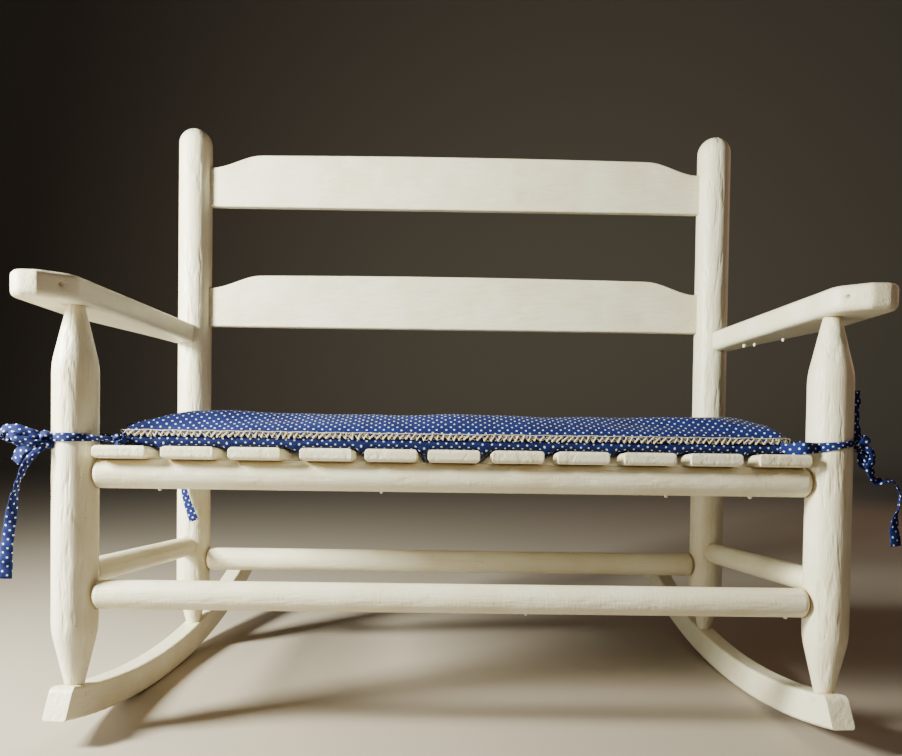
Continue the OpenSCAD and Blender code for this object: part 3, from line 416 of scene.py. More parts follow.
def cushion_plan(x, y, sizes):
    """Rounds the corners of the plan: past the core of each corner, x and y are drawn in until the
    larger of them is the distance from the core; the sides are drawn in between the corners by
    drawn_in * (1 - v squared), and the whole plan is shifted to the right."""
    half_w, half_d, mid_y = cushion_halves(sizes)
    r = sizes.cushion_corner / MM
    core_x, core_y = half_w - r, half_d - r
    yy = y - mid_y
    dx, dy = np.maximum(0, np.abs(x) - core_x), np.maximum(0, np.abs(yy) - core_y)
    both = (dx > 0) & (dy > 0)
    norm = np.where(both, np.hypot(dx, dy), 1.0)
    shrink = np.where(both, np.maximum(dx, dy) / norm, 1.0)
    u, v = x / half_w, yy / half_d
    draw = sizes.cushion_drawn_in / MM
    px = np.sign(x) * (np.minimum(np.abs(x), core_x) + dx * shrink) - draw * u * np.clip(1 - v * v, 0, 1)
    py = np.sign(yy) * (np.minimum(np.abs(yy), core_y) + dy * shrink) - draw * v * np.clip(1 - u * u, 0, 1)
    return px + sizes.cushion_shift / MM, py + mid_y


def cushion_halves(sizes):
    """Half width, half depth and middle of the cushion's plan, in the seat's plane."""
    front, rear = -sizes.cushion_front / MM, POST_DEPTH - POST_R - sizes.cushion_rear_gap / MM
    return FRONT_X - POST_R - sizes.cushion_end_gap / MM, (rear - front) / 2, (rear + front) / 2


def cushion_axes(sizes):
    """The cushion's grid along X and along Y."""
    half_w, half_d, _ = cushion_halves(sizes)
    cell, long_roll = sizes.cushion_cell / MM, sizes.cushion_roll_long / MM
    return (cushion_axis(half_w, sizes.cushion_roll_left / MM, sizes.cushion_roll_right / MM, cell),
            cushion_axis(half_d, long_roll, long_roll, cell))


def cushion_panels(sizes):
    """Top and underside of the cushion as one closed skin in the seat's plane: height of the top is
    seam + (crown - seam) * product of the four sides' shares * (1 - 0.08 v squared), with v from 0 at
    mid depth to 1 at the sides, and of the underside seam - (seam - 0.5) * product. Returns points,
    quads, UV pairs laid out by the lengths along each panel's rows, the rim's numbers and the first
    number of the underside."""
    _, half_d, mid_y = cushion_halves(sizes)
    (x, up_x, flat_x), (y, up_y, flat_y) = cushion_axes(sizes)
    gx, gy = np.meshgrid(x, y + mid_y, indexing="ij")
    px, py = cushion_plan(gx, gy, sizes)
    seam, crown = sizes.cushion_seam / MM, sizes.cushion_crown / MM
    fall = 1 - 0.08 * ((gy - mid_y) / half_d) ** 2
    top = np.stack([px, py, seam + (crown - seam) * up_x[:, None] * up_y[None, :] * fall], -1)
    under = np.stack([px, py, seam - (seam - 0.5) * flat_x[:, None] * flat_y[None, :]], -1)
    nx, ny = gx.shape
    number = np.arange(nx * ny).reshape(nx, ny)
    below = number.copy()
    below[1:-1, 1:-1] = nx * ny + np.arange((nx - 2) * (ny - 2)).reshape(nx - 2, ny - 2)

    def corners(grid):
        cells = np.stack([grid[:-1, :-1], grid[1:, :-1], grid[1:, 1:], grid[:-1, 1:]], 2)
        return cells.reshape(-1, 4, *grid.shape[2:])

    def laid(p):
        du = np.linalg.norm(np.diff(p, axis=0), axis=-1)
        dv = np.linalg.norm(np.diff(p, axis=1), axis=-1)
        u = np.vstack([np.zeros((1, ny)), np.cumsum(du, 0)])
        v = np.hstack([np.zeros((nx, 1)), np.cumsum(dv, 1)])
        return corners(np.stack([u - u[nx // 2], v - v[:, ny // 2][:, None]], -1) * MM)

    points = np.vstack([top.reshape(-1, 3), under[1:-1, 1:-1].reshape(-1, 3)])
    faces = np.vstack([corners(number), corners(below)[:, ::-1]])
    uv = np.vstack([laid(top), laid(under)[:, ::-1] + np.array([0.003, 0.41])])
    rim = np.concatenate([number[:-1, 0], number[-1, :-1], number[:0:-1, -1], number[0, :0:-1]])
    return points, faces.tolist(), uv, rim, nx * ny


def swell_cloth(pad, rim, first_under):
    """Puffs the pad up by Blender's cloth with air pressure, with the seam pinned, then keeps each
    point within SWELL_REACH of where it started, and moves the underside less."""
    rest = vertex_places(pad.data)
    pinned = pad.vertex_groups.new(name="seam")
    pinned.add(rim.tolist(), 1.0, "REPLACE")
    cloth = pad.modifiers.new("Cloth", "CLOTH")
    cloth.settings.quality = 6
    cloth.settings.mass = 0.25
    cloth.settings.tension_stiffness = cloth.settings.compression_stiffness = 12
    cloth.settings.shear_stiffness = 5
    cloth.settings.bending_stiffness = 0.4
    cloth.settings.use_pressure = True
    cloth.settings.uniform_pressure_force = 4
    cloth.settings.effector_weights.gravity = 0
    cloth.settings.vertex_group_mass = "seam"
    cloth.point_cache.frame_end = SWELL_FRAMES
    scene = bpy.context.scene
    for number in range(1, SWELL_FRAMES + 1):
        scene.frame_set(number)
    held = pad.evaluated_get(bpy.context.evaluated_depsgraph_get()).to_mesh()
    shift = vertex_places(held) - rest
    scene.frame_set(1)
    pad.modifiers.clear()
    size = np.linalg.norm(shift, axis=1)[:, None]
    shift *= np.minimum(1, SWELL_REACH * MM / np.maximum(size, 1e-9))
    shift[first_under:] *= SWELL_UNDER
    move_vertices(pad.data, rest + shift)


def subdivided(piece):
    """The piece's mesh after one Catmull-Clark subdivision, with its UV map."""
    modifier = piece.modifiers.new("Subdivision", "SUBSURF")
    modifier.levels = modifier.render_levels = 1
    depsgraph = bpy.context.evaluated_depsgraph_get()
    fine = bpy.data.meshes.new_from_object(piece.evaluated_get(depsgraph))
    bpy.data.objects.remove(piece)
    return fine


def world_to_seat(points):
    """Metres in the row frame back to millimetres in the seat's plane, the other way round."""
    p = np.asarray(points) / MM
    c, s = math.cos(LEAN), math.sin(LEAN)
    y, z = p[:, 1] - REST_Y, p[:, 2] - REST_Z
    y, z = y * c - z * s, y * s + z * c
    c, s = math.cos(SEAT_TILT), math.sin(SEAT_TILT)
    z = z - SEAT_ORIGIN_H
    return np.stack([p[:, 0], y * c + z * s, z * c - y * s - SLAT_TOP], -1)


def settle_cushion(mesh, sizes):
    """Shapes the fine skin by given fields, in millimetres of the seat's plane: filling lumps
    of sums of sines on the crown, puckers of sums of sines along the rim that fade by
    exp(-height / 6.5) from the seam, and on the underside a sag of sag * (1 - (distance / 6)^1.5)
    into each gap between slats."""
    half_w, half_d, mid_y = cushion_halves(sizes)
    seam = sizes.cushion_seam / MM
    x, y, z = world_to_seat(vertex_places(mesh)).T.copy()
    above = np.clip((z - seam) / 18, 0, 1)
    lumps = (np.sin(x / 31 + 1.3) * np.sin(y / 23 + 0.4) + 0.7 * np.sin(x / 17 - y / 29 + 2.0)
             + 0.5 * np.sin(x / 9.5 + y / 14))
    z += 0.55 * above * lumps
    # Puckers round the seam: in and out of the plan, strongest at the braid
    near = np.exp(-np.abs(z - seam) / 6.5)
    edge_x, edge_y = half_w - np.abs(x), half_d - np.abs(y - mid_y)
    side_y = np.clip(1 - edge_y / 12, 0, 1)
    side_x = np.clip(1 - edge_x / 12, 0, 1)
    along_x = np.sin(x / 3.1 + 1.5 * np.sin(x / 21)) + 0.6 * np.sin(x / 1.9 + 2.0 * np.sin(x / 13))
    along_y = np.sin(y / 3.1 + 1.5 * np.sin(y / 17)) + 0.6 * np.sin(y / 1.9)
    y += np.sign(y - mid_y) * side_y * near * 0.45 * along_x
    x += np.sign(x) * side_x * near * 0.45 * along_y
    # Underside: flat on the slats, hanging a little into the gaps
    gaps = (SLAT_X[:-1] + SLAT_X[1:]) / 2
    off = np.abs(x[:, None] - gaps[None, :]).min(1)
    hang = np.clip(1 - (off / 6.0) ** 1.5, 0, 1) * sizes.cushion_sag / MM
    low = np.clip(1 - (z - 0.4) / 5.0, 0, 1)
    z = np.maximum(z, 0.45) - hang * low
    move_vertices(mesh, bench_to_world(seat_to_bench(np.stack([x, y, z], -1))))


def rim_line(sizes, out, step):
    """The seam seen from above, moved outwards by out, at even steps all round, with its outward
    directions: the plan of the four edges of the rounded rectangle."""
    half_w, half_d, mid_y = cushion_halves(sizes)
    a, b = np.linspace(-1, 1, 400), np.linspace(-1, 1, 200)
    ring = np.vstack([
        np.stack([a * half_w, np.full(400, mid_y - half_d)], 1)[:-1],
        np.stack([np.full(200, half_w), mid_y + b * half_d], 1)[:-1],
        np.stack([-a * half_w, np.full(400, mid_y + half_d)], 1)[:-1],
        np.stack([np.full(200, -half_w), mid_y - b * half_d], 1)])
    px, py = cushion_plan(ring[:, 0], ring[:, 1], sizes)
    ring = np.stack([px, py], 1)
    run = np.concatenate([[0], np.cumsum(np.linalg.norm(np.diff(ring, axis=0), axis=1))])
    at = np.linspace(0, run[-1], int(run[-1] / step) + 1)
    line = np.stack([np.interp(at, run, ring[:, k]) for k in (0, 1)], 1)
    tangent = unit(np.gradient(line, axis=0))
    outward = np.stack([tangent[:, 1], -tangent[:, 0]], 1)
    return line + outward * out, outward, tangent, at


def braid_strand(sizes, pitch, rise, loop, out, phase, lift):
    """One zigzag strand of the crocheted braid. With turn = 2 pi s / pitch + phase + slow waves, the
    height is rise * (2 / pi) * asin(0.96 sin turn), and the place along the seam is s + loop *
    sin(2 turn) + lean * height, which throws a small loop at each tip; slow waves vary the turn, the
    lean and the height, so that the strokes stand in uneven groups as if worked by hand. The strand
    lies lift above the seam."""
    line, outward, tangent, at = rim_line(sizes, out, pitch / 15)
    wander = 1.1 * np.sin(at / 19 + phase) + 0.7 * np.sin(at / 7.3 + 1.1) + 0.3 * np.sin(at / 3.1)
    turn = 2 * np.pi * at / pitch + phase + wander
    lean = 0.05 + 0.3 * np.sin(at / 11 + 0.5 + phase) + 0.2 * np.sin(at / 6.1)
    big = 1 + 0.16 * np.sin(at / 4.3 + 2.0) + 0.12 * np.sin(at / 9.3)
    height = rise * big * 2 / np.pi * np.arcsin(0.96 * np.sin(turn))
    along = loop * np.sin(2 * turn) + lean * height
    depth = 0.35 * np.cos(turn)
    flat = line + tangent * along[:, None] + outward * depth[:, None]
    seat = np.column_stack([flat, sizes.cushion_seam / MM + lift + height])
    return seat_to_bench(seat)


# Ties

def round_post(centre, radius, angles, heights):
    """Route rows round a post: places on a circle at the given angles in degrees, counted from +X
    towards +Y, facing outwards."""
    a = np.radians(angles)
    out = np.stack([np.cos(a), np.sin(a), np.zeros(len(a))], 1)
    place = np.array([*centre, 0.0]) + radius * out
    place[:, 2] = heights
    return np.hstack([place, out])


def knot_route(centre, size, turn):
    """Route rows of a pulled-tight overhand knot: a trefoil line, x = sin t + 2 sin 2t, y = -1.3
    sin 3t, z = cos t - 2 cos 2t, scaled and turned about Z, facing out from its middle."""
    t = np.linspace(0, 2 * np.pi, 25)
    x, y, z = np.sin(t) + 2 * np.sin(2 * t), -1.3 * np.sin(3 * t), np.cos(t) - 2 * np.cos(2 * t)
    p = np.stack([x, y, z], 1) * size / 3
    c, s = math.cos(turn), math.sin(turn)
    p = np.stack([p[:, 0] * c - p[:, 1] * s, p[:, 0] * s + p[:, 1] * c, p[:, 2]], 1)
    out = p + 0.35 * size * np.array([0.2, -0.6, 0.3])
    return np.hstack([p + np.asarray(centre), unit(out)])


def rows(*values):
    """Route rows from flat tuples of place and facing direction."""
    return np.array(values, float)


def front_left_tie():
    """Routes of the front left tie, as the photograph shows it: a lump at the cushion's corner, a
    twisted strap, a flat band over the post, a knot, a bow to the outer left and a long tail."""
    post, r = (-FRONT_X, 0.0), POST_R + TIE_OFF
    band = np.vstack([
        rows((-262, -3, 235, 0, -1, 0.2), (-268, -7, 232.5, 0.3, -0.8, 0.6),
             (-276, -10, 233, 0.3, -0.6, -0.8)),
        round_post(post, r, [-40, -62, -90, -118, -142], [233.5, 233.6, 233.6, 233.4, 232.6])])
    back = np.vstack([
        rows((-262, 1, 235, 0, 1, 0.2), (-272, 3, 234, 0.2, 1, 0.3)),
        round_post(post, r, [32, 62, 90, 120, 150, 182, 205], [234, 234, 234, 234, 234, 233, 232.5])])
    bow = rows(
        (-317, -15, 231, 0.2, -1, 0.3), (-325, -18, 235, 0.1, -1, 0.4),
        (-336, -21, 238.5, 0.1, -0.9, 0.4), (-346, -21, 239.5, -0.2, -0.8, 0.5),
        (-353.5, -18, 236, -0.9, -0.4, 0.2), (-351, -15.5, 231.5, -0.4, -0.2, -0.9),
        (-342, -15.5, 230.5, 0.1, -0.9, -0.4), (-330, -15, 230.5, 0.1, -1, -0.3),
        (-320, -13, 231, 0.2, -1, 0))
    second = rows(
        (-318, -16, 230, 0.2, -1, 0.1), (-326, -20, 230, 0, -1, 0.3), (-336, -23, 232, -0.1, -1, 0.2),
        (-344, -22, 235, -0.3, -1, -0.2), (-347, -18, 232, -0.6, 0.4, -0.6),
        (-340, -15, 227, 0, -0.6, -0.8), (-329, -15, 226, 0.2, -1, -0.2), (-320, -13, 229, 0.2, -1, 0))
    short = rows(
        (-318, -14, 231, 0, -1, 0.1), (-328, -17, 228, 0, -1, 0.3), (-338, -17, 222, -0.2, -1, 0.2),
        (-343, -15, 214, -0.3, -1, 0.1))
    tail = rows(
        (-317, -15, 229, 0.2, -1, 0), (-324, -20, 222, 0.3, -1, 0.2), (-332, -20, 212.6, 0.8, -0.8, 0.3),
        (-339.5, -18, 197.7, 1, -0.25, 0.1), (-343.7, -16, 185.8, 0.9, -0.5, 0.1),
        (-346.5, -15, 171, 0.35, -1, 0), (-349, -14, 158, 0.1, -1, 0), (-351, -13, 143, 0.1, -1, 0),
        (-352, -12, 131, 0.3, -1, 0), (-352.5, -12, 121.5, 0.2, -1, 0))
    return [
        tape(band, TIE_W, 1.5, fold=0.3, crumple=0.5,
             taper=[(0, 0.75), (0.2, 0.5), (0.4, 0.58), (0.7, 0.72), (1, 0.7)]),
        tape(back, TIE_W, 1.4, taper=[(0, 0.7), (0.2, 0.6), (0.4, 0.9), (1, 0.8)], crumple=0.4),
        tape(knot_route((-266, -6, 232), 4.6, 0.4), 5.0, 1.6, step=1.2, crumple=0.4),
        tape(knot_route((-318, -13, 232), 6.6, 1.1), 7.0, 1.8, step=1.4, crumple=0.5),
        tape(bow, TIE_W, 1.5, fold=0.7, taper=[(0, 0.5), (0.3, 0.9), (0.6, 0.95), (1, 0.5)], crumple=0.9),
        tape(second, 8.5, 1.5, fold=0.7, crumple=0.9,
             taper=[(0, 0.5), (0.35, 0.85), (0.6, 0.85), (1, 0.5)]),
        tape(short, 9.0, 1.4, fold=0.4, taper=[(0, 0.6), (0.5, 1), (1, 1.1)], crumple=0.5),
        tape(tail, TIE_W, 1.4, fold=0.5, crumple=0.6,
             taper=[(0, 0.5), (0.15, 0.6), (0.35, 0.55), (0.6, 0.95), (1, 1)])]


def front_right_tie():
    """Routes of the front right tie: a wide strap that narrows over the post, a knot behind its outer
    edge, one end standing up beside the post and one that hangs in two bends."""
    post, r = (FRONT_X, 0.0), POST_R + TIE_OFF
    band = np.vstack([
        rows((262, -4, 234, 0, -1, 0.1), (269, -9, 232.5, 0, -1, 0.1), (277, -15.5, 233, -0.1, -1, 0)),
        round_post(post, r, [218, 232, 250, 270, 292, 318, 336],
                   [233.4, 233.9, 234.6, 235.4, 236.6, 238, 238.6])])
    back = np.vstack([
        rows((262, 1, 235, 0, 1, 0.2), (274, 4, 235, -0.2, 1, 0.3)),
        round_post(post, r, [146, 118, 90, 60, 30, 0, -20], [235, 236, 236, 237, 237, 238, 238])])
    up = rows(
        (323, -8, 236, -0.2, -1, 0), (322.5, -7, 245, -0.2, -1, 0), (322.5, -5, 254, 0.2, -1, 0),
        (323, -4, 262, 0.5, -0.9, 0), (323.5, -3, 272, 0.2, -1, 0), (323, -2, 280, 0.1, -1, 0))
    lump = rows(
        (322, -9, 238, 0, -1, 0), (327, -14, 233, 0.1, -1, 0.3), (331, -15, 226, 0.3, -1, 0),
        (327, -13, 219, 0.1, -1, -0.4), (323, -11, 224, -0.3, -1, 0), (326, -9, 232, -0.2, -1, 0.2))
    tail = rows(
        (324, -10, 234, 0, -1, 0), (327, -13, 226, 0.2, -1, 0), (330, -13, 216, 0.3, -1, 0.2),
        (335, -11, 208, 0.3, -0.9, 0.5), (343, -10, 208.5, 0, -0.5, 1), (351, -10, 206.5, 0.3, -0.5, 0.8),
        (355.5, -10, 199, 0.9, -0.5, 0.3), (355.5, -10, 189, 1, -0.35, 0), (353, -10, 179, 0.6, -0.9, 0),
        (352, -10, 170, 0.2, -1, 0), (354, -10, 156, 0.1, -1, 0))
    return [
        tape(band, TIE_W, 1.5, fold=-0.35, crumple=0.4,
             taper=[(0, 0.8), (0.2, 1.05), (0.45, 0.85), (0.7, 0.55), (1, 0.5)]),
        tape(back, TIE_W, 1.4, taper=[(0, 0.8), (0.3, 1), (1, 0.8)], crumple=0.4),
        tape(knot_route((324, -9, 238), 6.4, 2.0), 7.0, 1.8, step=1.4, crumple=0.5),
        tape(up, 8.5, 1.4, fold=0.5, taper=[(0, 0.6), (0.5, 0.6), (1, 0.85)], crumple=0.6),
        tape(lump, 8.0, 1.6, fold=0.6, taper=[(0, 0.7), (0.5, 0.8), (1, 0.6)], crumple=0.8),
        tape(tail, TIE_W, 1.4, fold=0.4, crumple=0.4,
             taper=[(0, 0.7), (0.3, 0.9), (0.45, 0.75), (0.7, 0.75), (1, 1.0)])]


def rear_tie(right):
    """Routes of a rear tie: two straps round the post from the cushion's rear corner, a knot in front
    of the post and one hanging end, cut square. The left one is what the photograph shows. The right
    one's end is cut short, because none is seen below the rail there."""
    side = 1 if right else -1
    post, r = np.array([REAR_X, POST_DEPTH]), POST_R + TIE_OFF
    height = 227.5
    band = np.vstack([
        rows((264, 196, height, -0.5, -1, 0), (272, 202.5, height, -0.2, -1, 0)),
        round_post(post, r, [-104, -80, -52, -20, 16, 55, 90], [height] * 7)])
    back = np.vstack([
        rows((262, 200, height, -1, -0.2, 0), (264.5, 212, height, -1, 0.1, 0)),
        round_post(post, r, [190, 165, 138, 110, 88], [height] * 5)])
    tail = rows(
        (286, 203, 226, 0, -1, 0), (288.5, 204, 214, 0.1, -1, 0), (289, 205, 200, 0.3, -1, 0),
        (287.5, 205, 187.6, 0.2, -1, 0), (284.5, 205, 174.7, 0, -1, 0), (280, 205, 162, 0, -1, 0),
        (276.5, 205, 152, 0, -1, 0))
    if right:
        tail = tail[:3]
    other = rows((288, 203, 226, 0.2, -1, 0), (294, 204, 214, 0.3, -1, 0), (297, 206, 201, 0.5, -1, 0))
    parts = [(band, TIE_W, 1.5, 2.0, 0.3, [(0, 0.7), (0.3, 1), (1, 1)]),
             (back, TIE_W, 1.4, 2.0, 0.0, [(0, 0.7), (0.3, 1), (1, 1)]),
             (knot_route((287, 203.5, 226.5), 6.2, 0.6), 7.0, 1.8, 1.4, 0.0, None),
             (tail, TIE_W, 1.4, 2.0, 0.3, [(0, 0.6), (0.3, 0.7), (0.6, 0.8), (1, 1.05)]),
             (other, 9.0, 1.4, 2.0, 0.3, [(0, 0.6), (1, 1.0)])]
    turn = np.array([side, 1, 1, side, 1, 1.0])
    return [tape(route * turn, *section, 0.4) for route, *section in parts]


def drops(places, radius, length):
    """Hardened runs of paint: for each place a bead hanging down, radius * sin(a)^0.8 wide at height
    -length * (1 - cos a) / 2. Places are in the bench's frame, radius and length in millimetres."""
    places, radius, length = (np.asarray(v, float) for v in (places, radius, length))
    rings, sides = 7, 10
    a, b = np.linspace(0, np.pi, rings), 2 * np.pi * np.arange(sides) / sides
    wide = radius[:, None, None] * (np.sin(a) ** 0.8)[None, :, None]
    x, y = wide * np.cos(b)[None, None, :], wide * np.sin(b)[None, None, :]
    z = -length[:, None, None] * ((1 - np.cos(a)) / 2)[None, :, None] + 0 * x
    points = places[:, None, None] + np.stack([x, y, z], -1)
    first = rings * sides * np.arange(len(places))[:, None, None]
    faces = (grid_faces(rings, sides, close_columns=True)[None] + first).reshape(-1, 4)
    return points.reshape(-1, 3), faces.tolist()


# Settings a user would change

class BenchSizes(bpy.types.PropertyGroup):
    cushion_crown: bpy.props.FloatProperty(
        name="Crown", description="Height of the cushion's crown above the slats",
        default=0.0284, unit="LENGTH")
    cushion_seam: bpy.props.FloatProperty(
        name="Seam", description="Height of the cushion's seam above the slats",
        default=0.010, unit="LENGTH")
    cushion_end_gap: bpy.props.FloatProperty(
        name="End gap", description="Gap between the cushion and each front post",
        default=0.0136, unit="LENGTH")
    cushion_shift: bpy.props.FloatProperty(
        name="Shift", description="How far the cushion lies to the right of the middle",
        default=0.0018, unit="LENGTH")
    cushion_rear_gap: bpy.props.FloatProperty(
        name="Rear gap", description="Gap between the cushion and the rear posts",
        default=0.0066, unit="LENGTH")
    cushion_front: bpy.props.FloatProperty(
        name="Front", description="How far the cushion reaches ahead of the front rail's axis",
        default=0.002, unit="LENGTH")
    cushion_drawn_in: bpy.props.FloatProperty(
        name="Drawn in", description="How far the sides are drawn in between the corners",
        default=0.004, unit="LENGTH")
    cushion_corner: bpy.props.FloatProperty(
        name="Corner radius", description="Radius of the corners seen from above",
        default=0.013, unit="LENGTH")
    cushion_roll_left: bpy.props.FloatProperty(
        name="Left roll", description="Length over which the left end swells",
        default=0.009, unit="LENGTH")
    cushion_roll_right: bpy.props.FloatProperty(
        name="Right roll", description="Length over which the right end swells",
        default=0.015, unit="LENGTH")
    cushion_roll_long: bpy.props.FloatProperty(
        name="Long roll", description="Length over which the long sides swell",
        default=0.030, unit="LENGTH")
    cushion_sag: bpy.props.FloatProperty(
        name="Sag", description="How far the underside hangs into the gaps between slats",
        default=0.0045, unit="LENGTH")
    cushion_cell: bpy.props.FloatProperty(
        name="Cloth cell", description="Size of a cell of the simulated cloth",
        default=0.0055, unit="LENGTH")
    braid_loop: bpy.props.FloatProperty(
        name="Braid loop", description="Length of one zigzag of the braid", default=0.0049, unit="LENGTH")


class BenchColours(bpy.types.PropertyGroup):
    paint: bpy.props.StringProperty(
        name="Paint", description="Cream enamel, as an sRGB hex code", default="#ECE6CE")
    paint_warm: bpy.props.StringProperty(
        name="Warm paint", description="Where the film is older or thinner", default="#E4DABC")
    paint_grain: bpy.props.StringProperty(
        name="Grain", description="Where the wood's grain shows through the film", default="#D5C8A6")
    paint_worn: bpy.props.StringProperty(
        name="Worn paint", description="Specks where the film has chipped or taken dirt",
        default="#A48F6C")
    # Mixed in by ambient occlusion, so this colour is partly painted shade in corners and joints and partly
    # yellowed paint and dirt.
    paint_yellowed_and_shade: bpy.props.StringProperty(
        name="Yellowed paint", description="Thick paint and dirt in the corners", default="#C6AC78")
    cotton: bpy.props.StringProperty(
        name="Cotton", description="Ground of the dotted cloth", default="#0C1852")
    cotton_worn: bpy.props.StringProperty(
        name="Worn cotton", description="Where the cloth has faded", default="#12205E")
    dots: bpy.props.StringProperty(
        name="Dots", description="Printed pin dots", default="#D9DDE8")
    braid: bpy.props.StringProperty(
        name="Braid", description="Yarn of the crocheted braid", default="#CDC2A6")
    braid_dirt: bpy.props.StringProperty(
        name="Braid dirt", description="Where the yarn is soiled", default="#B9A98A")
    ties: bpy.props.StringProperty(name="Ties", description="Ground of the ties' cloth", default="#0E1A58")
    piping: bpy.props.StringProperty(
        name="Piping", description="Ground of the piping's cloth", default="#0B1230")
    key_light: bpy.props.StringProperty(
        name="Key light", description="Colour of the main light", default="#F8FCEC")
    fill_light: bpy.props.StringProperty(
        name="Fill light", description="Colour of the weak lamps on the right and behind",
        default="#F6C7A4")
    floor: bpy.props.StringProperty(
        name="Floor", description="Colour of the floor and backdrop", default="#A19588")
    room: bpy.props.StringProperty(
        name="Room", description="Weak even light from all round", default="#D9DCE2")


class BenchView(bpy.types.PropertyGroup):
    place: bpy.props.FloatVectorProperty(
        name="Place", description="Camera in the bench's upright frame",
        default=(-0.0063, -0.6102, 0.21625),
        subtype="XYZ", unit="LENGTH")
    yaw: bpy.props.FloatProperty(
        name="Yaw", description="Turn to the right", default=math.radians(0.476), subtype="ANGLE")
    pitch: bpy.props.FloatProperty(
        name="Pitch", description="Tilt upwards", default=math.radians(-1.166), subtype="ANGLE")
    roll: bpy.props.FloatProperty(
        name="Roll", description="Turn of the image", default=math.radians(0.789), subtype="ANGLE")
    lens: bpy.props.FloatProperty(
        name="Lens", description="Focal length in millimetres on a 36 mm sensor", default=30.213)
    shift: bpy.props.FloatVectorProperty(
        name="Shift", description="Lens shift, in widths of the image", default=(-0.0011, 0.1131), size=2)


class BENCH_OT_stage(bpy.types.Operator):
    """Floor, backdrop, lights and the camera at the photograph's angle"""
    bl_idname = "bench.stage"
    bl_label = "Stage, lights and camera"

    def execute(self, context):
        scene, colours = context.scene, context.scene.bench_colours
        # A level floor that curves up into a backdrop behind the bench, as one swept profile
        a = np.linspace(0, np.pi / 2, 13)
        rise = np.stack([RISE_AT + RISE_R * np.sin(a), RISE_R * (1 - np.cos(a))], 1)
        profile = np.vstack([[FLOOR_FRONT, 0.0], rise, [RISE_AT + RISE_R, FLOOR_TOP]])
        across = np.tile([-FLOOR_HALF, FLOOR_HALF], len(profile))
        points = np.column_stack([across, np.repeat(profile, 2, 0)])
        mesh = make_mesh("floor", points, grid_faces(len(profile), 2)[:, ::-1].tolist())
        mesh.materials.append(matt_paper("matt paper backdrop", colours.floor))
        add_object("floor", mesh)
        world = bpy.data.worlds.new("studio")
        scene.world = world
        world.use_nodes = True
        background = world.node_tree.nodes["Background"]
        set_inputs(world.node_tree, background, {"Color": linear(colours.room), "Strength": 0.04})
        # Each light's place and aim in metres, width and height, watts and colour
        for name, place, target, size, power, code in (
                ("key", (-0.86, -0.42, 0.6), (0.1, 0.0, 0.34), (0.16, 0.26), 46, colours.key_light),
                ("low key", (-0.86, -0.42, 0.2), (0.1, 0.0, 0.2), (0.16, 0.2), 5, colours.key_light),
                ("fill", (1.7, 0.9, 0.9), (0.0, 0.0, 0.25), (1.0, 1.0), 4, colours.fill_light),
                ("lamp", (0.4, -0.95, 1.16), (0.0, 0.0, 0.2), (0.1, 0.1), 1.5, colours.fill_light)):
            data = bpy.data.lights.new(name, "AREA")
            data.shape = "RECTANGLE"
            data.size, data.size_y = size
            data.energy, data.color = power, linear(code)[:3]
            light = add_object(name, data)
            light.location = place
            light.rotation_euler = (Vector(place) - Vector(target)).to_track_quat("Z", "Y").to_euler()
        self.add_camera(scene, scene.bench_view)
        return {"FINISHED"}

    def add_camera(self, scene, view):
        """Camera axes in the bench's upright frame, from yaw, pitch and roll, leaned back with it."""
        cy, sy, cp, sp = (f(v) for v in (view.yaw, view.pitch) for f in (math.cos, math.sin))
        forward = np.array([sy * cp, cy * cp, sp])
        right = np.array([cy, -sy, 0.0])
        up = np.cross(right, forward)
        cr, sr = math.cos(view.roll), math.sin(view.roll)
        right, up = cr * right + sr * up, cr * up - sr * right
        origin = bench_to_world(np.zeros(3))
        axes = [(bench_to_world(v / MM) - origin) for v in (right, up, -forward)]
        place = bench_to_world(np.array(view.place) / MM)
        data = bpy.data.cameras.new("camera")
        data.lens, data.sensor_width = view.lens, 36.0
        data.shift_x, data.shift_y = view.shift
        camera = add_object("camera", data)
        turned = Matrix(np.transpose(axes).tolist()).to_4x4()
        turned.translation = Vector(place.tolist())
        camera.matrix_world = turned
        scene.camera = camera


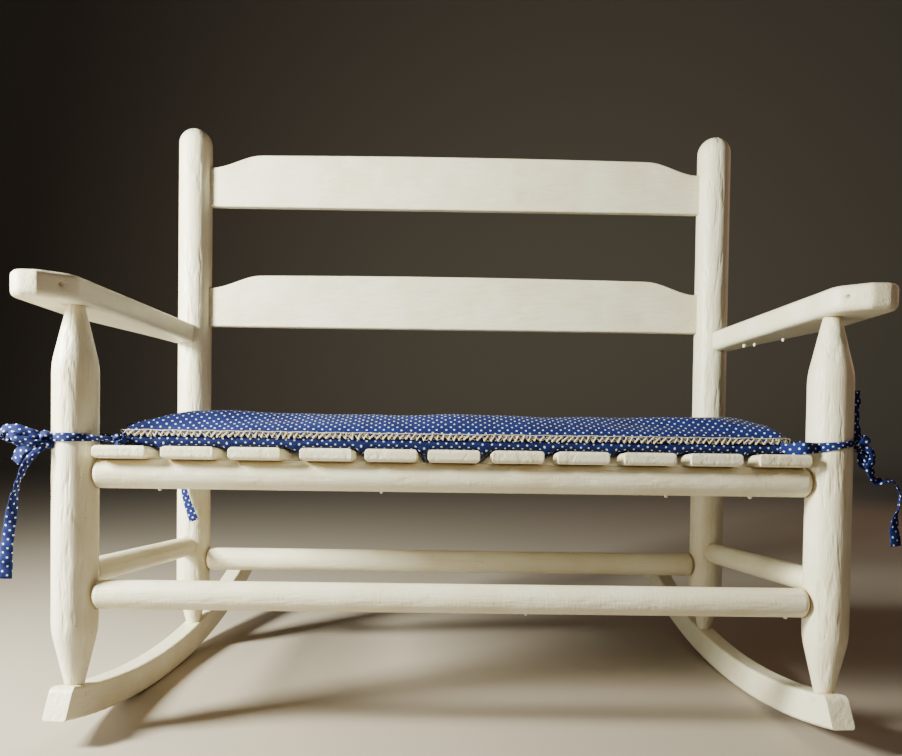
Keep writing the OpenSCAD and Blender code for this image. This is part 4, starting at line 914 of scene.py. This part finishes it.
class BENCH_OT_paint(bpy.types.Operator):
    """Finish of every wooden piece, with its own direction of grain and brush strokes"""
    bl_idname = "bench.paint"
    bl_label = "Painted wood"

    def execute(self, context):
        colours = context.scene.bench_colours
        across, along = 0.75, 0.035
        groups = {
            "brushed enamel on turned post": (("front_post", "rear_post"),
                (across, across, along), (0.9, 0.9, 0.08), 1.3),
            "brushed enamel on turned rail": (("seat_rail", "stretcher_front", "stretcher_rear"),
                (along, across, across), (0.95, 0.16, 0.16), 0.7),
            "brushed enamel on turned side stretcher": (("stretcher_left", "stretcher_right"),
                (across, along, across), (0.16, 0.95, 0.16), 0.7),
            "brushed enamel on sawn arm": (("arm_left", "arm_right"),
                (across, along, across), (1.3, 0.2, 1.3), 0.4),
            "brushed enamel on rocker": (("rocker_left", "rocker_right"),
                (across, along * 2, across), (1.1, 0.25, 1.1), 0.5),
            "brushed enamel on back slat": (("back_slat_top", "back_slat_lower"),
                (along, across, across), (0.1, 0.9, 0.9), 0.8),
            "brushed enamel on seat slat": (("seat_slat",),
                (across, along, across), (0.6, 0.3, 0.6), 0.6),
            "enamel over nail heads": (("nails", "screws"), (0.4, 0.4, 0.4), (0.4, 0.4, 0.4), 0.2)}
        made = {name: painted_softwood(name, colours, grain, strokes, dent,
                                       ARM_SOFT if "arm" in name else EDGE_SOFT)
                for name, (_, grain, strokes, dent) in groups.items()}
        for node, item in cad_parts.items():
            # The last group that fits counts, so that nails in a slat are painted as nails
            for name, (parts, *_) in groups.items():
                if any(part in node for part in parts):
                    item.data.materials.clear()
                    item.data.materials.append(made[name])
        self.add_runs(made["enamel over nail heads"])
        return {"FINISHED"}

    def add_runs(self, enamel):
        """Hardened drops under the front rail, the front stretcher and the right arm."""
        places = [(-236, 0, 195.4), (-58, 0, 195.2), (172, 0, 195.4), (240, 0, 195.6), (-120, 0, 98.1),
                  (60, 0, 98.2), (271, 0, 98.6), (268, 90, 331.5), (277.5, 90, 332.5), (304, 90, 337.5)]
        radius = [1.5, 1.2, 1.6, 1.9, 1.2, 1.4, 2.0, 1.6, 1.3, 1.4]
        points, faces = drops(places, radius, [2.0 + r for r in radius])
        place_piece("paint_runs", make_mesh("paint_runs", bench_to_world(points), faces), enamel)


class BENCH_OT_cushion(bpy.types.Operator):
    """Stuffed cotton cushion with its crown, drawn-in sides and sag between the slats"""
    bl_idname = "bench.cushion"
    bl_label = "Cushion"

    def execute(self, context):
        sizes, colours = context.scene.bench_sizes, context.scene.bench_colours
        points, faces, uv, rim, first_under = cushion_panels(sizes)
        pad = add_object("cushion_pad", make_mesh(
            "cushion_pad", bench_to_world(seat_to_bench(points)), faces, uv))
        swell_cloth(pad, rim, first_under)
        fine = subdivided(pad)
        settle_cushion(fine, sizes)
        fine.polygons.foreach_set("use_smooth", np.ones(len(fine.polygons), bool))
        fine.name = "cushion_cloth"
        piece = place_piece("cushion_cloth", fine, dotted_cotton(
            "printed cotton of the cushion", colours, colours.cotton))
        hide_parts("cushion")
        self.add_piping(fine, sizes, colours)
        return {"FINISHED"}

    def add_piping(self, mesh, sizes, colours):
        """Dark piping over the cushion's left end: a cord along the row PIPING_ROW of the cloth's
        grid, whose points come first in the mesh, from the front seam over the crown to the rear
        one, half sunk in the cloth."""
        columns = len(cushion_axes(sizes)[1][0])
        seat = world_to_seat(vertex_places(mesh)[PIPING_ROW * columns:(PIPING_ROW + 1) * columns])
        seat[:, 0] -= 0.7
        line, at = smooth_path(seat_to_bench(seat), 1.2)
        points, faces, uv = cord(line, at, 1.35)
        piping = make_mesh("cushion_piping", bench_to_world(points), faces, uv)
        cotton = dotted_cotton("printed cotton of the piping", colours, colours.piping, 2.6, 0.9)
        place_piece("cushion_piping", piping, cotton)


class BENCH_OT_braid(bpy.types.Operator):
    """Looped braid sewn along the cushion's seam"""
    bl_idname = "bench.braid"
    bl_label = "Braid"

    def execute(self, context):
        sizes, colours = context.scene.bench_sizes, context.scene.bench_colours
        pitch = sizes.braid_loop / MM
        # Length of a zigzag, rise, loop, distance out, start, lift and the yarn's radius
        strands = ((pitch, 2.7, 0.3, 1.5, 0.0, 0.9, 0.62), (pitch * 1.9, 2.3, -0.3, 0.8, 1.9, 0.9, 0.45),
                   (pitch * 4.3, 0.35, 0.0, 1.7, 0.7, 3.5, 0.34))
        points, faces = joined([yarn(braid_strand(sizes, *strand), radius) for *strand, radius in strands])
        mesh = make_mesh("cushion_braid", bench_to_world(points), faces)
        piece = place_piece("cushion_braid", mesh, cotton_yarn("crocheted cotton braid", colours))
        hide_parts("cushion_trim")
        return {"FINISHED"}


class BENCH_OT_ties(bpy.types.Operator):
    """Four cloth ties that hold the cushion to the posts"""
    bl_idname = "bench.ties"
    bl_label = "Ties"

    def execute(self, context):
        colours = context.scene.bench_colours
        cotton = dotted_cotton("printed cotton of the ties", colours, colours.ties)
        made = {"tie_front_left": front_left_tie(), "tie_front_right": front_right_tie(),
                "tie_rear_left": rear_tie(False), "tie_rear_right": rear_tie(True)}
        for node, parts in made.items():
            points, faces = joined(parts)
            uv, length = np.vstack([part[3] for part in parts]), sum(part[4] for part in parts)
            mesh = make_mesh(node + "_cloth", bench_to_world(points), faces, uv)
            piece = place_piece(node + "_cloth", mesh, cotton)
            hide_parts(node)
        return {"FINISHED"}


class BENCH_PT_panel(bpy.types.Panel):
    """Lists the bench's pieces"""
    bl_idname = "BENCH_PT_panel"
    bl_label = "Rocking bench"
    bl_space_type = "VIEW_3D"
    bl_region_type = "UI"
    bl_category = "Bench"

    def draw(self, context):
        for operator in OPERATORS:
            self.layout.operator(operator.bl_idname)
        for group in (context.scene.bench_sizes, context.scene.bench_colours, context.scene.bench_view):
            for name in group.__annotations__:
                self.layout.prop(group, name)


OPERATORS = (BENCH_OT_stage, BENCH_OT_paint, BENCH_OT_cushion, BENCH_OT_braid, BENCH_OT_ties)
GROUPS = {"bench_sizes": BenchSizes, "bench_colours": BenchColours, "bench_view": BenchView}


def register():
    for item in (*GROUPS.values(), *OPERATORS, BENCH_PT_panel):
        bpy.utils.register_class(item)
    for name, group in GROUPS.items():
        setattr(bpy.types.Scene, name, bpy.props.PointerProperty(type=group))


def unregister():
    for name in GROUPS:
        delattr(bpy.types.Scene, name)
    for item in (BENCH_PT_panel, *reversed(OPERATORS), *reversed(list(GROUPS.values()))):
        bpy.utils.unregister_class(item)


def main():
    register()
    bpy.ops.bench.stage()
    bpy.ops.bench.paint()
    bpy.ops.bench.cushion()
    bpy.ops.bench.braid()
    bpy.ops.bench.ties()


if __name__ == "__main__":
    main()
